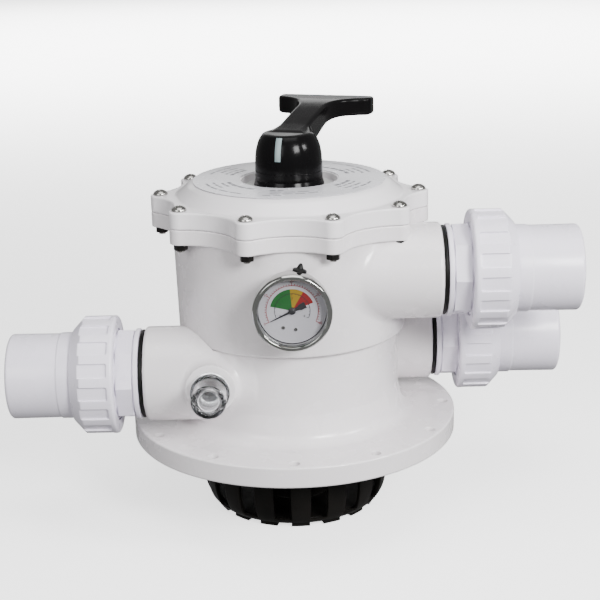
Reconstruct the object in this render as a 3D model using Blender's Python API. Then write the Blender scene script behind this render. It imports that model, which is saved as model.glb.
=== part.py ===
"""Six-way multiport valve that bolts to the top of a pool filter tank.

Metres, +Z up. The origin is on the valve's vertical axis, level with the feet
of the diffuser basket. +X is the pump port's side and -Y is the gauge's side.
An azimuth is measured from the front (-Y), growing towards +X.
"""
import math

import bmesh
import bpy
from mathutils import Matrix, Vector

# ---------------------------------------------------------------- dimensions
GAP = 0.0003                # clearance between pieces that touch
SECTORS = 6                 # valve positions, and passages in the seat
BIG_STEPS = 36              # facets of the body's round walls
MID_STEPS = 24              # facets of the unions and other round pieces
SMALL_STEPS = 16            # facets of seals, washers and the stem
HOLE_STEPS = 6              # facets of the screws and of small holes
HALF_FACET = 0.5            # turn of a cutter, whose edges then miss its target's

# heights
NECK_LOW_Z = 0.052
FLANGE_LOW_Z = 0.068
FLANGE_TOP_Z = 0.0855
LOWER_AXIS_Z = 0.134        # waste and return ports
SEAM_Z = 0.162              # shoulder where the upper body sits
SEAT_Z = 0.166              # top of the seat plate
UPPER_AXIS_Z = 0.220        # pump port
GAUGE_Z = 0.2096
RIM_LOW_Z = 0.252           # lobed flange of the upper body
RIM_TOP_Z = 0.2645
LID_RIM_Z = 0.279
PLATEAU_Z = 0.2906
RECESS_Z = 0.284
HANDLE_LOW_Z = 0.286
PIN_Z = 0.308

# body
FLANGE_R = 0.142
SEAL_GROOVE_R = 0.086       # recess for the tank's seal, above the basket's collar
SEAL_GROOVE_Z = 0.070
FLANGE_HOLE_PITCH_R = 0.1325
FLANGE_HOLE_R = 0.00425
FLANGE_HOLES = 12
NECK_R = 0.076
NECK_BORE_R = 0.070
LOWER_R = 0.092
CHAMBER_R = 0.086
WEB_HALF = 0.002
RISER_BORE_R = 0.0252
WINDOW_IN_R = 0.034
WINDOW_OUT_R = 0.080
SPIGOT_R = 0.0907
UPPER_LOW_R = 0.0985
UPPER_TOP_R = 0.1005
UPPER_BORE_R = 0.091

# ports
PORT_Y = 0.046              # offset of each port from the valve's axis
PORT_R = 0.040
PORT_END = 0.1245
THREAD_R = 0.033
THREAD_START = 0.108
PASSAGE_R = 0.027
PORTS = {                   # name: (side, y, z)
    "waste": (-1, -PORT_Y, LOWER_AXIS_Z),
    "pump": (1, -PORT_Y, UPPER_AXIS_Z),
    "return": (1, PORT_Y, LOWER_AXIS_Z),
}
HALF_LENGTH = 0.239
SOCKET_R = 0.0316
SOCKET_DEPTH = 0.038

# lobed rim and its screws
LOBES = 10
SCREW_R = 0.110
LOBE_R = 0.0095
LOBE_CENTRE_R = 0.109
SCALLOP_R = 0.1025
SCREW_HOLE_R = 0.0038
SHANK_R = 0.003
SCREW_LOW_Z = 0.2445
NUT_HEIGHT = 0.005

# sight glass on the waste port
SIGHT_X = -0.068
SIGHT_BOSS_R = 0.021
SIGHT_BOSS_END = 0.090
SIGHT_BORE_R = 0.012

# pressure gauge
GAUGE_X = 0.0008
GAUGE_HOLE_R = 0.0068
ZERO_ANGLE = math.radians(206)

# stem, rotor and handle
STEM_R = 0.011
STEM_TOP_Z = 0.318
PIN_R = 0.003
PIN_HOLE_R = 0.0033
ARM_TURN = math.radians(-18.5)  # the arm points back and to the right
BELL_R = 0.0286
SKIRT_R = 0.0302
SKIRT_TOP = -0.0165
BELL_LOW = -0.022
BELL_START = -0.010         # heights from the pin's axis, between which the bell domes
BELL_TOP = 0.023
BELL_HEIGHT = 0.038
PIN_HOLE_HALF = 0.026
SLOT_HALF = 0.0116
RELIEF_START = 0.015
RELIEF_ANGLE = math.radians(22)
ARM_END = 0.118
GRIP_START = 0.101
GRIP_HALF = 0.0435
ARM_HALF = 0.013
FILLET_R = 0.030

# diffuser basket
RIBS = 16
BASKET_R = 0.083
WINDOW_WIDTH = 0.015
FOOT_WIDTH = 0.016
FOOT_PHASE = 0.13           # of the pitch, from +X to the first foot


# ------------------------------------------------------------------- helpers
def clear_scene():
    for old in list(bpy.data.objects):
        bpy.data.objects.remove(old, do_unlink=True)


def material(name, colour, roughness, metallic=0.0, alpha=1.0):
    made = bpy.data.materials.new(name)
    made.use_nodes = True
    made.diffuse_color = (*colour, alpha)
    shader = made.node_tree.nodes["Principled BSDF"]
    shader.inputs["Base Color"].default_value = (*colour, 1.0)
    shader.inputs["Roughness"].default_value = roughness
    shader.inputs["Metallic"].default_value = metallic
    shader.inputs["Alpha"].default_value = alpha
    return made


def add_turned(bm, outline, steps, place=Matrix(), turn=0.0, capped=False):
    """Add the solid that a closed (radius, height) outline sweeps around Z.

    A capped outline is open, and flat discs close its first and last rings.
    """
    rings = []
    for radius, height in outline:
        ring = []
        for i in range(steps):
            angle = math.tau * (i + turn) / steps
            point = Vector((radius * math.cos(angle), radius * math.sin(angle), height))
            ring.append(bm.verts.new(place @ point))
        rings.append(ring)
    if capped:
        bm.faces.new(rings[0])
        bm.faces.new(rings[-1])
    else:
        rings.append(rings[0])
    for low, high in zip(rings, rings[1:]):
        for i in range(steps):
            j = (i + 1) % steps
            bm.faces.new((low[i], low[j], high[j], high[i]))


def add_cylinder(bm, radius, low, high, steps, place=Matrix(), turn=0.0):
    add_turned(bm, [(radius, low), (radius, high)], steps, place, turn, capped=True)


def add_loft(bm, sections):
    """Add the solid through a row of sections with equal point counts."""
    rings = [[bm.verts.new(point) for point in section] for section in sections]
    for low, high in zip(rings, rings[1:]):
        for i in range(len(low)):
            j = (i + 1) % len(low)
            bm.faces.new((low[i], low[j], high[j], high[i]))
    bm.faces.new(rings[0])
    bm.faces.new(rings[-1])


def add_prism(bm, outline, low, high, place=Matrix()):
    levels = []
    for height in (low, high):
        levels.append([place @ Vector((x, y, height)) for x, y in outline])
    add_loft(bm, levels)


def add_sector(bm, outline, centre, half_angle, web_half, steps=3):
    """Add a slice of a turned solid, its sides parallel to the radial webs."""
    sections = []
    for i in range(steps + 1):
        section = []
        for radius, height in outline:
            reach = half_angle - math.asin(web_half / radius)
            angle = centre + reach * (2.0 * i / steps - 1.0)
            section.append(azimuth_point(radius, angle, height))
        sections.append(section)
    add_loft(bm, sections)


def azimuth_point(radius, azimuth, height):
    return Vector((radius * math.sin(azimuth), -radius * math.cos(azimuth), height))


def make_object(name, bm, look=None, location=(0, 0, 0), rotation=(0, 0, 0), parent=None):
    bmesh.ops.recalc_face_normals(bm, faces=bm.faces[:])
    mesh = bpy.data.meshes.new(name)
    bm.to_mesh(mesh)
    bm.free()
    mesh.shade_smooth()
    mesh.set_sharp_from_angle(angle=math.radians(30))
    if look:
        mesh.materials.append(look)
    return place_object(name, mesh, location, rotation, parent)


def place_object(name, mesh, location=(0, 0, 0), rotation=(0, 0, 0), parent=None):
    made = bpy.data.objects.new(name, mesh)
    bpy.context.scene.collection.objects.link(made)
    made.location = location
    made.rotation_euler = rotation
    made.parent = parent
    return made


def combine(target, name, bm, operation):
    """Add to target, or cut from it, the shapes in bm, in target's own frame."""
    tool = make_object(name, bm, None, target.location, target.rotation_euler, target.parent)
    tool.hide_render = True
    tool.display_type = "WIRE"
    modifier = target.modifiers.new(name, "BOOLEAN")
    modifier.operation = operation
    modifier.solver = "EXACT"
    modifier.object = tool


def turned_object(name, outline, steps, look, capped=False, **placing):
    bm = bmesh.new()
    add_turned(bm, outline, steps, capped=capped)
    return make_object(name, bm, look, **placing)


def ring_outline(inner, outer, low, high):
    return [(inner, low), (outer, low), (outer, high), (inner, high)]


def along_x(side, y, z):
    """Placement that turns local +Z into +X or -X."""
    return Matrix.Translation((0.0, y, z)) @ Matrix.Rotation(side * math.pi / 2, 4, "Y")


def towards_front(x, z):
    """Placement that turns local +Z into -Y, and local +Y into +Z."""
    return Matrix.Translation((x, 0.0, z)) @ Matrix.Rotation(math.pi / 2, 4, "X")


# ---------------------------------------------------------------- lower body
def passage_section(side, y, top, end):
    """A round passage across the wall, flattened under the seat plate."""
    section = []
    for i in range(SMALL_STEPS):
        angle = math.tau * i / SMALL_STEPS
        height = min(LOWER_AXIS_Z + PASSAGE_R * math.sin(angle), top)
        section.append(Vector((side * end, y + PASSAGE_R * math.cos(angle), height)))
    return section


def is_port_sector(index):
    """The sectors at -60 and +120 degrees lead to the waste and return ports."""
    return index in (2, 5)


def add_chambers(bm):
    half_angle = math.pi / SECTORS
    roof = SEAT_Z - 0.008
    window = [(WINDOW_OUT_R, roof), (WINDOW_OUT_R, SEAT_Z + 0.001),
              (WINDOW_IN_R, SEAT_Z + 0.001), (WINDOW_IN_R, roof), (0.031, roof)]
    floor_top = 0.092
    floor_low = 0.086
    for i in range(SECTORS):
        centre = math.tau * i / SECTORS
        if is_port_sector(i):
            upper = [(0.031, floor_top), (CHAMBER_R, floor_top), (CHAMBER_R, roof)] + window
            add_sector(bm, upper, centre, half_angle, WEB_HALF)
            lower = ring_outline(0.031, NECK_BORE_R, NECK_LOW_Z - 0.001, floor_low)
            add_sector(bm, lower, centre, half_angle, WEB_HALF)
        else:
            whole = [(0.031, NECK_LOW_Z - 0.001), (NECK_BORE_R, NECK_LOW_Z - 0.001),
                     (NECK_BORE_R, 0.076), (CHAMBER_R, 0.080), (CHAMBER_R, roof)] + window
            add_sector(bm, whole, centre, half_angle, WEB_HALF)


def make_lower_body(look):
    outline = [(RISER_BORE_R, NECK_LOW_Z), (NECK_R, NECK_LOW_Z), (NECK_R, SEAL_GROOVE_Z),
               (SEAL_GROOVE_R, SEAL_GROOVE_Z), (SEAL_GROOVE_R, FLANGE_LOW_Z),
               (FLANGE_R, FLANGE_LOW_Z), (FLANGE_R, FLANGE_TOP_Z - 0.0015),
               (FLANGE_R - 0.0015, FLANGE_TOP_Z), (0.104, FLANGE_TOP_Z), (0.098, 0.0885),
               (0.095, 0.095), (LOWER_R, 0.110), (LOWER_R, 0.170), (RISER_BORE_R, 0.170)]
    body = turned_object("lower_body", outline, BIG_STEPS, look)

    tubes = bmesh.new()
    add_cylinder(tubes, PORT_R, 0.030, PORT_END, MID_STEPS, along_x(-1, -PORT_Y, LOWER_AXIS_Z))
    add_cylinder(tubes, PORT_R, 0.030, PORT_END, MID_STEPS, along_x(1, PORT_Y, LOWER_AXIS_Z))
    combine(body, "lower_tubes_tool", tubes, "UNION")

    boss = bmesh.new()
    add_cylinder(boss, SIGHT_BOSS_R, 0.060, SIGHT_BOSS_END, SMALL_STEPS,
                 towards_front(SIGHT_X, LOWER_AXIS_Z))
    combine(body, "sight_boss_tool", boss, "UNION")

    room = bmesh.new()
    clear_r = (UPPER_LOW_R + 0.0002 + GAP) / math.cos(math.pi / BIG_STEPS)
    add_turned(room, [(SPIGOT_R, SEAT_Z), (SPIGOT_R, SEAM_Z), (clear_r, SEAM_Z),
                      (clear_r, 0.190)], BIG_STEPS, turn=HALF_FACET, capped=True)
    combine(body, "upper_body_room_tool", room, "DIFFERENCE")

    chambers = bmesh.new()
    add_chambers(chambers)
    combine(body, "chambers_tool", chambers, "DIFFERENCE")

    bores = bmesh.new()
    for side, y in ((-1, -PORT_Y), (1, PORT_Y)):
        add_cylinder(bores, THREAD_R, THREAD_START, PORT_END + 0.001, MID_STEPS,
                     along_x(side, y, LOWER_AXIS_Z), HALF_FACET)
    combine(body, "lower_bores_tool", bores, "DIFFERENCE")

    passages = bmesh.new()
    for side, y in ((-1, -PORT_Y), (1, PORT_Y)):
        ends = [passage_section(side, y, SEAT_Z - 0.011, end) for end in (0.058, 0.109)]
        add_loft(passages, ends)
    combine(body, "lower_passages_tool", passages, "DIFFERENCE")

    holes = bmesh.new()
    add_cylinder(holes, SIGHT_BORE_R, 0.070, SIGHT_BOSS_END + 0.001, SMALL_STEPS,
                 towards_front(SIGHT_X, LOWER_AXIS_Z))
    for i in range(FLANGE_HOLES):
        spot = azimuth_point(FLANGE_HOLE_PITCH_R, math.tau * i / FLANGE_HOLES, 0.0)
        add_cylinder(holes, FLANGE_HOLE_R, FLANGE_LOW_Z - 0.001, FLANGE_TOP_Z + 0.001,
                     HOLE_STEPS, Matrix.Translation(spot))
    combine(body, "lower_holes_tool", holes, "DIFFERENCE")


# ---------------------------------------------------------------- upper body
def screw_azimuths():
    return [math.tau * (i + 0.5) / LOBES for i in range(LOBES)]


def lobed_outline():
    """Ten round lobes joined by hollow arcs that are tangent to them."""
    half = math.pi / LOBES
    # the hollow arc's centre lies where its circle touches both lobe circles
    reach = SCALLOP_R - LOBE_R
    hollow_centre = ((LOBE_CENTRE_R ** 2 - reach ** 2)
                     / (2 * (LOBE_CENTRE_R * math.cos(half) - reach)))
    hollow_r = hollow_centre - SCALLOP_R
    across = hollow_centre * math.sin(half)
    out = hollow_centre * math.cos(half) - LOBE_CENTRE_R
    lobe_turn = math.atan2(across, out)
    hollow_turn = lobe_turn - half
    points = []
    for centre in screw_azimuths():
        middle = azimuth_point(LOBE_CENTRE_R, centre, 0.0)
        for i in range(4):
            angle = centre + lobe_turn * (i / 1.5 - 1.0)
            points.append(middle + azimuth_point(LOBE_R, angle, 0.0))
        valley = azimuth_point(hollow_centre, centre + half, 0.0)
        for i in (-1, 1):
            angle = centre + half + math.pi - hollow_turn * i / 3.0
            points.append(valley + azimuth_point(hollow_r, angle, 0.0))
    return [(point.x, point.y) for point in points]


def add_screw_holes(bm, low, high):
    for azimuth in screw_azimuths():
        spot = Matrix.Translation(azimuth_point(SCREW_R, azimuth, 0.0))
        add_cylinder(bm, SCREW_HOLE_R, low, high, HOLE_STEPS, spot)


def make_upper_body(look):
    low = SEAM_Z + GAP
    outline = [(0.0965, low), (UPPER_LOW_R, low + 0.004), (UPPER_TOP_R, 0.250),
               (UPPER_TOP_R, 0.258)]
    body = turned_object("upper_body", outline, BIG_STEPS, look, capped=True)

    tube = bmesh.new()
    add_cylinder(tube, PORT_R, 0.030, PORT_END, MID_STEPS, along_x(*PORTS["pump"]))
    combine(body, "upper_tube_tool", tube, "UNION")

    rim = bmesh.new()
    add_prism(rim, lobed_outline(), RIM_LOW_Z, RIM_TOP_Z)
    combine(body, "rim_tool", rim, "UNION")

    room = bmesh.new()
    add_cylinder(room, UPPER_BORE_R / math.cos(math.pi / BIG_STEPS), 0.160, 0.266, BIG_STEPS,
                 turn=HALF_FACET)
    combine(body, "upper_room_tool", room, "DIFFERENCE")

    bore = bmesh.new()
    add_cylinder(bore, THREAD_R, THREAD_START, PORT_END + 0.001, MID_STEPS,
                 along_x(*PORTS["pump"]), HALF_FACET)
    combine(body, "upper_bore_tool", bore, "DIFFERENCE")

    passage = bmesh.new()
    add_cylinder(passage, PASSAGE_R, 0.055, 0.109, SMALL_STEPS, along_x(*PORTS["pump"]))
    combine(body, "upper_passage_tool", passage, "DIFFERENCE")

    details = bmesh.new()
    add_screw_holes(details, 0.250, 0.266)
    add_turned(details, ring_outline(0.0945, 0.0985, 0.2620, 0.266), BIG_STEPS, turn=HALF_FACET)
    add_cylinder(details, GAUGE_HOLE_R, 0.088, 0.106, 12, towards_front(GAUGE_X, GAUGE_Z))
    combine(body, "upper_details_tool", details, "DIFFERENCE")

    # the pump port's crown is hollowed where it would bury one of the nuts
    pocket = bmesh.new()
    spot = Matrix.Translation(azimuth_point(SCREW_R, math.radians(54), 0.0))
    add_cylinder(pocket, 0.0075, 0.2440, RIM_LOW_Z, 12, spot)
    combine(body, "nut_pocket_tool", pocket, "DIFFERENCE")


# ----------------------------------------------------------------------- lid
def make_lid(look):
    low = RIM_TOP_Z + GAP
    bm = bmesh.new()
    add_prism(bm, lobed_outline(), low, LID_RIM_Z)
    lid = make_object("lid", bm, look)

    crown = bmesh.new()
    add_turned(crown, [(0.0905, 0.258), (0.0905, 0.268), (0.0978, 0.2782),
                       (0.0850, 0.2896), (0.0840, PLATEAU_Z), (0.041, PLATEAU_Z),
                       (0.041, RECESS_Z)], BIG_STEPS, capped=True)
    combine(lid, "lid_crown_tool", crown, "UNION")

    inside = bmesh.new()
    add_turned(inside, [(0.0845, 0.257), (0.0845, 0.278), (0.080, 0.2845), (0.045, 0.2845),
                        (0.040, 0.278), (0.018, 0.278), (0.018, 0.262), (0.0116, 0.262),
                        (0.0116, 0.268), (0.0138, 0.268), (0.0138, 0.271), (0.0116, 0.271),
                        (0.0116, 0.286)], MID_STEPS, turn=HALF_FACET, capped=True)
    combine(lid, "lid_inside_tool", inside, "DIFFERENCE")

    holes = bmesh.new()
    add_screw_holes(holes, 0.263, 0.281)
    combine(lid, "lid_holes_tool", holes, "DIFFERENCE")


def make_lid_fittings(rubber, label, steel, dark_steel):
    turned_object("lid_oring", ring_outline(0.0951, 0.0977, 0.2624, RIM_TOP_Z), BIG_STEPS, rubber)
    turned_object("lid_label", ring_outline(0.0425, 0.0820, PLATEAU_Z + GAP, 0.2913),
                  MID_STEPS, label)
    head = LID_RIM_Z + GAP
    screw = [(SHANK_R, SCREW_LOW_Z), (SHANK_R, head), (0.0062, head),
             (0.0060, head + 0.0022), (0.0035, head + 0.0044)]
    nut_low = RIM_LOW_Z - GAP - NUT_HEIGHT
    nut = ring_outline(0.0039, 0.00577, nut_low, nut_low + NUT_HEIGHT)
    screw_mesh = None
    nut_mesh = None
    for i, azimuth in enumerate(screw_azimuths(), start=1):
        spot = azimuth_point(SCREW_R, azimuth, 0.0)
        turn = (0.0, 0.0, azimuth)
        if screw_mesh is None:
            screw_mesh = turned_object("lid_screw_01", screw, HOLE_STEPS, steel, capped=True,
                                       location=spot, rotation=turn).data
            nut_mesh = turned_object("lid_nut_01", nut, HOLE_STEPS, dark_steel,
                                     location=spot, rotation=turn).data
        else:
            place_object(f"lid_screw_{i:02d}", screw_mesh, spot, turn)
            place_object(f"lid_nut_{i:02d}", nut_mesh, spot, turn)


# -------------------------------------------------------------------- unions
def octagon_radius(corner, index):
    """Radius of an eight-sided section at one of MID_STEPS equal angles."""
    pitch = math.tau / 8
    angle = (math.tau * index / MID_STEPS) % pitch
    return corner * math.cos(pitch / 2) / math.cos(angle - pitch / 2)


def flatten_wrench_grip(mesh, low, high, corner):
    """Pull the round facets between two heights in to an octagon."""
    for vertex in mesh.vertices:
        radius = math.hypot(vertex.co.x, vertex.co.y)
        if low < vertex.co.z < high and radius > PASSAGE_R + 0.001:
            turn = math.atan2(vertex.co.y, vertex.co.x) / math.tau * MID_STEPS
            wanted = octagon_radius(corner, round(turn))
            vertex.co.x *= wanted / radius
            vertex.co.y *= wanted / radius


def make_union(name, side, y, z, pvc, rubber):
    placing = {"location": (0.0, y, z), "rotation": (0.0, side * math.pi / 2, 0.0)}
    turned_object(f"{name}_port_oring", ring_outline(0.0332, 0.0375, 0.1248, 0.1282),
                  SMALL_STEPS, rubber, **placing)
    adapter = [(PASSAGE_R, 0.1085), (0.0325, 0.1085), (0.0325, 0.1285), (0.0385, 0.1285),
               (0.0385, 0.1330), (0.0390, 0.1332), (0.0390, 0.1468), (0.0380, 0.1470),
               (0.0380, 0.1600), (PASSAGE_R, 0.1600)]
    made = turned_object(f"{name}_union_adapter", adapter, MID_STEPS, pvc, **placing)
    flatten_wrench_grip(made.data, 0.1331, 0.1469, 0.0390)
    nut = [(0.0391, 0.1478), (0.0472, 0.1478), (0.0500, 0.1506), (0.0500, 0.1750),
           (0.0394, 0.1850), (0.0373, 0.1850), (0.0373, 0.1720), (0.0391, 0.1715)]
    turned_object(f"{name}_union_nut", nut, MID_STEPS, pvc, **placing)
    socket = HALF_LENGTH - SOCKET_DEPTH
    tail = [(PASSAGE_R, 0.1627), (0.0384, 0.1627), (0.0384, 0.1705), (0.0365, 0.1705),
            (0.0365, HALF_LENGTH), (SOCKET_R, HALF_LENGTH), (SOCKET_R, socket),
            (PASSAGE_R, socket)]
    turned_object(f"{name}_union_tailpiece", tail, MID_STEPS, pvc, **placing)
    turned_object(f"{name}_face_seal", ring_outline(0.0285, 0.0365, 0.1603, 0.1624),
                  SMALL_STEPS, rubber, **placing)


# ----------------------------------------------------- sight glass and gauge
def make_sight_glass(clear, rubber):
    placing = {"location": (SIGHT_X, 0.0, LOWER_AXIS_Z), "rotation": (math.pi / 2, 0.0, 0.0)}
    cap = [(0.0090, 0.0760), (0.0113, 0.0760), (0.0113, 0.0926), (0.0162, 0.0926),
           (0.0162, 0.0990), (0.0142, 0.1010), (0.0142, 0.1190), (0.0132, 0.1200)]
    turned_object("sight_glass", [(0.0090, 0.1165)] + cap, MID_STEPS, clear, capped=True,
                  **placing)
    turned_object("sight_glass_oring", ring_outline(0.0120, 0.0155, 0.0903, 0.0923),
                  SMALL_STEPS, rubber, **placing)


def pointer_outline():
    """A long tapered blade with a short broad tail, hub at the middle."""
    return [(0.0195, -0.0003), (0.0195, 0.0003), (0.0, 0.0010), (-0.0055, 0.0014),
            (-0.0115, 0.0026), (-0.0115, -0.0026), (-0.0055, -0.0014), (0.0, -0.0010)]


def make_gauge(chrome, clear, enamel, black, brass, rubber):
    placing = {"location": (GAUGE_X, 0.0, GAUGE_Z), "rotation": (math.pi / 2, 0.0, 0.0)}
    case = [(0.0275, 0.1050), (0.0292, 0.1065), (0.0292, 0.1245), (0.0272, 0.1245),
            (0.0272, 0.1070)]
    turned_object("gauge_case", case, MID_STEPS, chrome, capped=True, **placing)
    bezel = [(0.0296, 0.1180), (0.0315, 0.1180), (0.0315, 0.1285), (0.0300, 0.1300),
             (0.0275, 0.1300), (0.0265, 0.1275), (0.0296, 0.1275)]
    turned_object("gauge_bezel", bezel, MID_STEPS, chrome, **placing)
    turned_object("gauge_lens", [(0.0290, 0.1248), (0.0290, 0.1272)], MID_STEPS, clear,
                  capped=True, **placing)
    turned_object("gauge_dial", [(0.0268, 0.1190), (0.0268, 0.1198)], MID_STEPS, enamel,
                  capped=True, **placing)
    connector = [(0.0063, 0.0900), (0.0063, 0.1003), (0.0095, 0.1003), (0.0095, 0.1047)]
    turned_object("gauge_connector", connector, 12, brass, capped=True, **placing)

    blade = bmesh.new()
    add_prism(blade, pointer_outline(), 0.1208, 0.1213)
    pointer = make_object("gauge_pointer", blade, black, placing["location"],
                          (math.pi / 2, -ZERO_ANGLE, 0.0))
    hub = bmesh.new()
    add_cylinder(hub, 0.0028, 0.1201, 0.1222, 12)
    combine(pointer, "pointer_hub_tool", hub, "UNION")

    plug_lean = math.radians(12)
    plug = [(0.0056, 0.0296), (0.0056, 0.0318), (0.0028, 0.0328), (0.0016, 0.0360),
            (0.0006, 0.0370)]
    turned_object("gauge_fill_plug", plug, 12, rubber, capped=True,
                  location=(GAUGE_X, -0.1120, GAUGE_Z), rotation=(0.0, plug_lean, 0.0))


# ------------------------------------------------------- rotor, stem, spring
def make_star_gasket(rubber):
    low = SEAT_Z + GAP
    gasket = turned_object("star_gasket", ring_outline(0.0270, 0.0880, low, low + 0.0022),
                           BIG_STEPS, rubber)
    windows = bmesh.new()
    for i in range(SECTORS):
        outline = ring_outline(WINDOW_IN_R, WINDOW_OUT_R, low - 0.001, low + 0.004)
        add_sector(windows, outline, math.tau * i / SECTORS, math.pi / SECTORS, 0.0025)
    combine(gasket, "gasket_windows_tool", windows, "DIFFERENCE")


def make_rotor(look):
    low = SEAT_Z + 0.0028
    outline = [(0.0885, low), (0.0885, 0.1760), (0.0840, 0.1820), (0.0310, 0.1860),
               (0.0200, 0.1860), (0.0200, 0.1920), (0.0116, 0.1920), (0.0116, 0.1780)]
    rotor = turned_object("rotor", outline, MID_STEPS, look, capped=True)
    half_angle = math.pi / SECTORS

    window = bmesh.new()
    add_sector(window, ring_outline(WINDOW_IN_R, WINDOW_OUT_R, 0.160, 0.190), 0.0,
               half_angle, 0.003)
    add_sector(window, ring_outline(0.020, WINDOW_OUT_R, 0.160, 0.1748), math.tau / 3,
               half_angle, 0.003)
    combine(rotor, "rotor_passages_tool", window, "DIFFERENCE")

    centre = bmesh.new()
    add_cylinder(centre, 0.024, 0.160, 0.1745, SMALL_STEPS)
    combine(rotor, "rotor_centre_tool", centre, "DIFFERENCE")


def make_stem(steel, rubber):
    outline = [(STEM_R, 0.1783), (STEM_R, STEM_TOP_Z - 0.001), (STEM_R - 0.001, STEM_TOP_Z)]
    stem = turned_object("stem", outline, SMALL_STEPS, steel, capped=True,
                         rotation=(0.0, 0.0, ARM_TURN))
    hole = bmesh.new()
    across = Matrix.Translation((0.0, 0.0, PIN_Z)) @ Matrix.Rotation(math.pi / 2, 4, "Y")
    add_cylinder(hole, PIN_HOLE_R, -0.015, 0.015, 12, across)
    combine(stem, "stem_pin_hole_tool", hole, "DIFFERENCE")
    turned_object("stem_oring", ring_outline(0.0115, 0.0134, 0.2684, 0.2706), SMALL_STEPS, rubber)


def make_spring(steel, washer):
    """An open coil of round wire between the rotor and the washer under the lid."""
    coil_r = 0.025
    wire_r = 0.0022
    low = 0.1863 + wire_r
    high = 0.2752 - wire_r
    turns = 5
    steps = turns * 12
    sides = 4
    climb = (high - low) / (math.tau * turns * coil_r)
    lean = math.atan(climb)
    sections = []
    for i in range(steps + 1):
        angle = math.tau * turns * i / steps
        outward = Vector((math.cos(angle), math.sin(angle), 0.0))
        ahead = Vector((-math.sin(angle), math.cos(angle), 0.0))
        upward = Vector((0.0, 0.0, math.cos(lean))) - ahead * math.sin(lean)
        middle = outward * coil_r + Vector((0.0, 0.0, low + (high - low) * i / steps))
        section = []
        for j in range(sides):
            turn = math.tau * j / sides
            section.append(middle + (outward * math.cos(turn) + upward * math.sin(turn)) * wire_r)
        sections.append(section)
    bm = bmesh.new()
    add_loft(bm, sections)
    make_object("spring", bm, steel)
    turned_object("spring_washer", ring_outline(0.0188, 0.0300, 0.2757, 0.2777),
                  SMALL_STEPS, washer)
    turned_object("handle_washer", ring_outline(0.0118, 0.0380, RECESS_Z + GAP,
                                                HANDLE_LOW_Z - GAP), MID_STEPS, washer)


# -------------------------------------------------------------------- handle
def smooth(value):
    held = min(max(value, 0.0), 1.0)
    return held * held * (3.0 - 2.0 * held)


def arm_half_width(reach):
    """Half width of the arm, flaring through a hollow fillet to the grip."""
    if reach >= GRIP_START:
        corner = max(0.0, reach - (ARM_END - 0.006))
        return GRIP_HALF - corner * 0.6
    start = GRIP_START - FILLET_R
    if reach <= start:
        return ARM_HALF
    run = reach - start
    return ARM_HALF + FILLET_R - math.sqrt(FILLET_R ** 2 - run ** 2)


def arm_section(reach):
    """Eight-sided section of the arm at a distance from the valve's axis."""
    rise = smooth((reach - 0.018) / (0.092 - 0.018))
    low = 0.007 + 0.0150 * rise
    top = 0.0230 + 0.0150 * rise
    end = max(0.0, reach - (ARM_END - 0.004))
    low += end * 0.5
    top -= end * 0.5
    half = arm_half_width(reach)
    cut = 0.003
    return [Vector((x, reach, z)) for x, z in (
        (-half + cut, low), (half - cut, low), (half, low + cut), (half, top - cut),
        (half - cut, top), (-half + cut, top), (-half, top - cut), (-half, low + cut))]


def slot_outline():
    """Room for the stem in the hub, at rest and with the handle pressed."""
    return [(-0.0125, -0.030), (0.0235, -0.030), (0.0125, 0.0), (0.0125, 0.0155),
            (-0.0170, 0.0155), (-0.0125, 0.0)]


def across_x(outline, half):
    """Sections that carry a (y, z) outline from -half to +half along X."""
    return [[Vector((x, y, z)) for y, z in outline] for x in (-half, half)]


def bell_radius(height):
    """Radius of the hub, a squarish dome, at a height from the pin's axis."""
    share = max(0.0, height - BELL_START) / BELL_HEIGHT
    return BELL_R * (1.0 - share ** 3) ** (1.0 / 3.0)


def bell_outline():
    steps = 6
    outline = [(SKIRT_R, BELL_LOW), (BELL_R, SKIRT_TOP)]
    for i in range(steps + 1):
        height = BELL_START + (BELL_TOP - BELL_START) * math.sin(math.pi / 2 * i / steps)
        outline.append((bell_radius(height), height))
    return outline


def make_handle(gloss, mark, steel):
    pivot = bpy.data.objects.new("handle_pivot", None)
    bpy.context.scene.collection.objects.link(pivot)
    pivot.location = (0.0, 0.0, PIN_Z)
    pivot.rotation_euler = (0.0, 0.0, ARM_TURN)

    handle = turned_object("handle", bell_outline(), MID_STEPS, gloss, capped=True, parent=pivot)

    arm = bmesh.new()
    start = GRIP_START - FILLET_R
    reaches = [0.0, 0.018, 0.036, 0.052, start, start + 0.010, start + 0.017, start + 0.022,
               start + 0.026, start + 0.029, GRIP_START, 0.112, 0.115, ARM_END]
    add_loft(arm, [arm_section(reach) for reach in reaches])
    combine(handle, "arm_tool", arm, "UNION")

    slot = bmesh.new()
    add_loft(slot, across_x(slot_outline(), SLOT_HALF))
    combine(handle, "slot_tool", slot, "DIFFERENCE")

    # the heel is cut back, so the cheeks roll on the washer as the arm goes down
    low = BELL_LOW
    rise = 0.025 * math.tan(RELIEF_ANGLE)
    heel = bmesh.new()
    add_loft(heel, across_x([(RELIEF_START, low), (RELIEF_START + 0.025, low + rise),
                             (RELIEF_START + 0.025, low - 0.004), (RELIEF_START, low - 0.004)],
                            0.035))
    combine(handle, "heel_tool", heel, "DIFFERENCE")

    hole = bmesh.new()
    add_cylinder(hole, PIN_HOLE_R, -PIN_HOLE_HALF, PIN_HOLE_HALF, 12,
                 Matrix.Rotation(math.pi / 2, 4, "Y"))
    combine(handle, "handle_pin_hole_tool", hole, "DIFFERENCE")

    pin = bmesh.new()
    add_cylinder(pin, PIN_R, -0.0255, 0.0255, 12, Matrix.Rotation(math.pi / 2, 4, "Y"))
    make_object("handle_pin", pin, steel, parent=pivot)

    make_indicator(mark, pivot)


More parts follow.
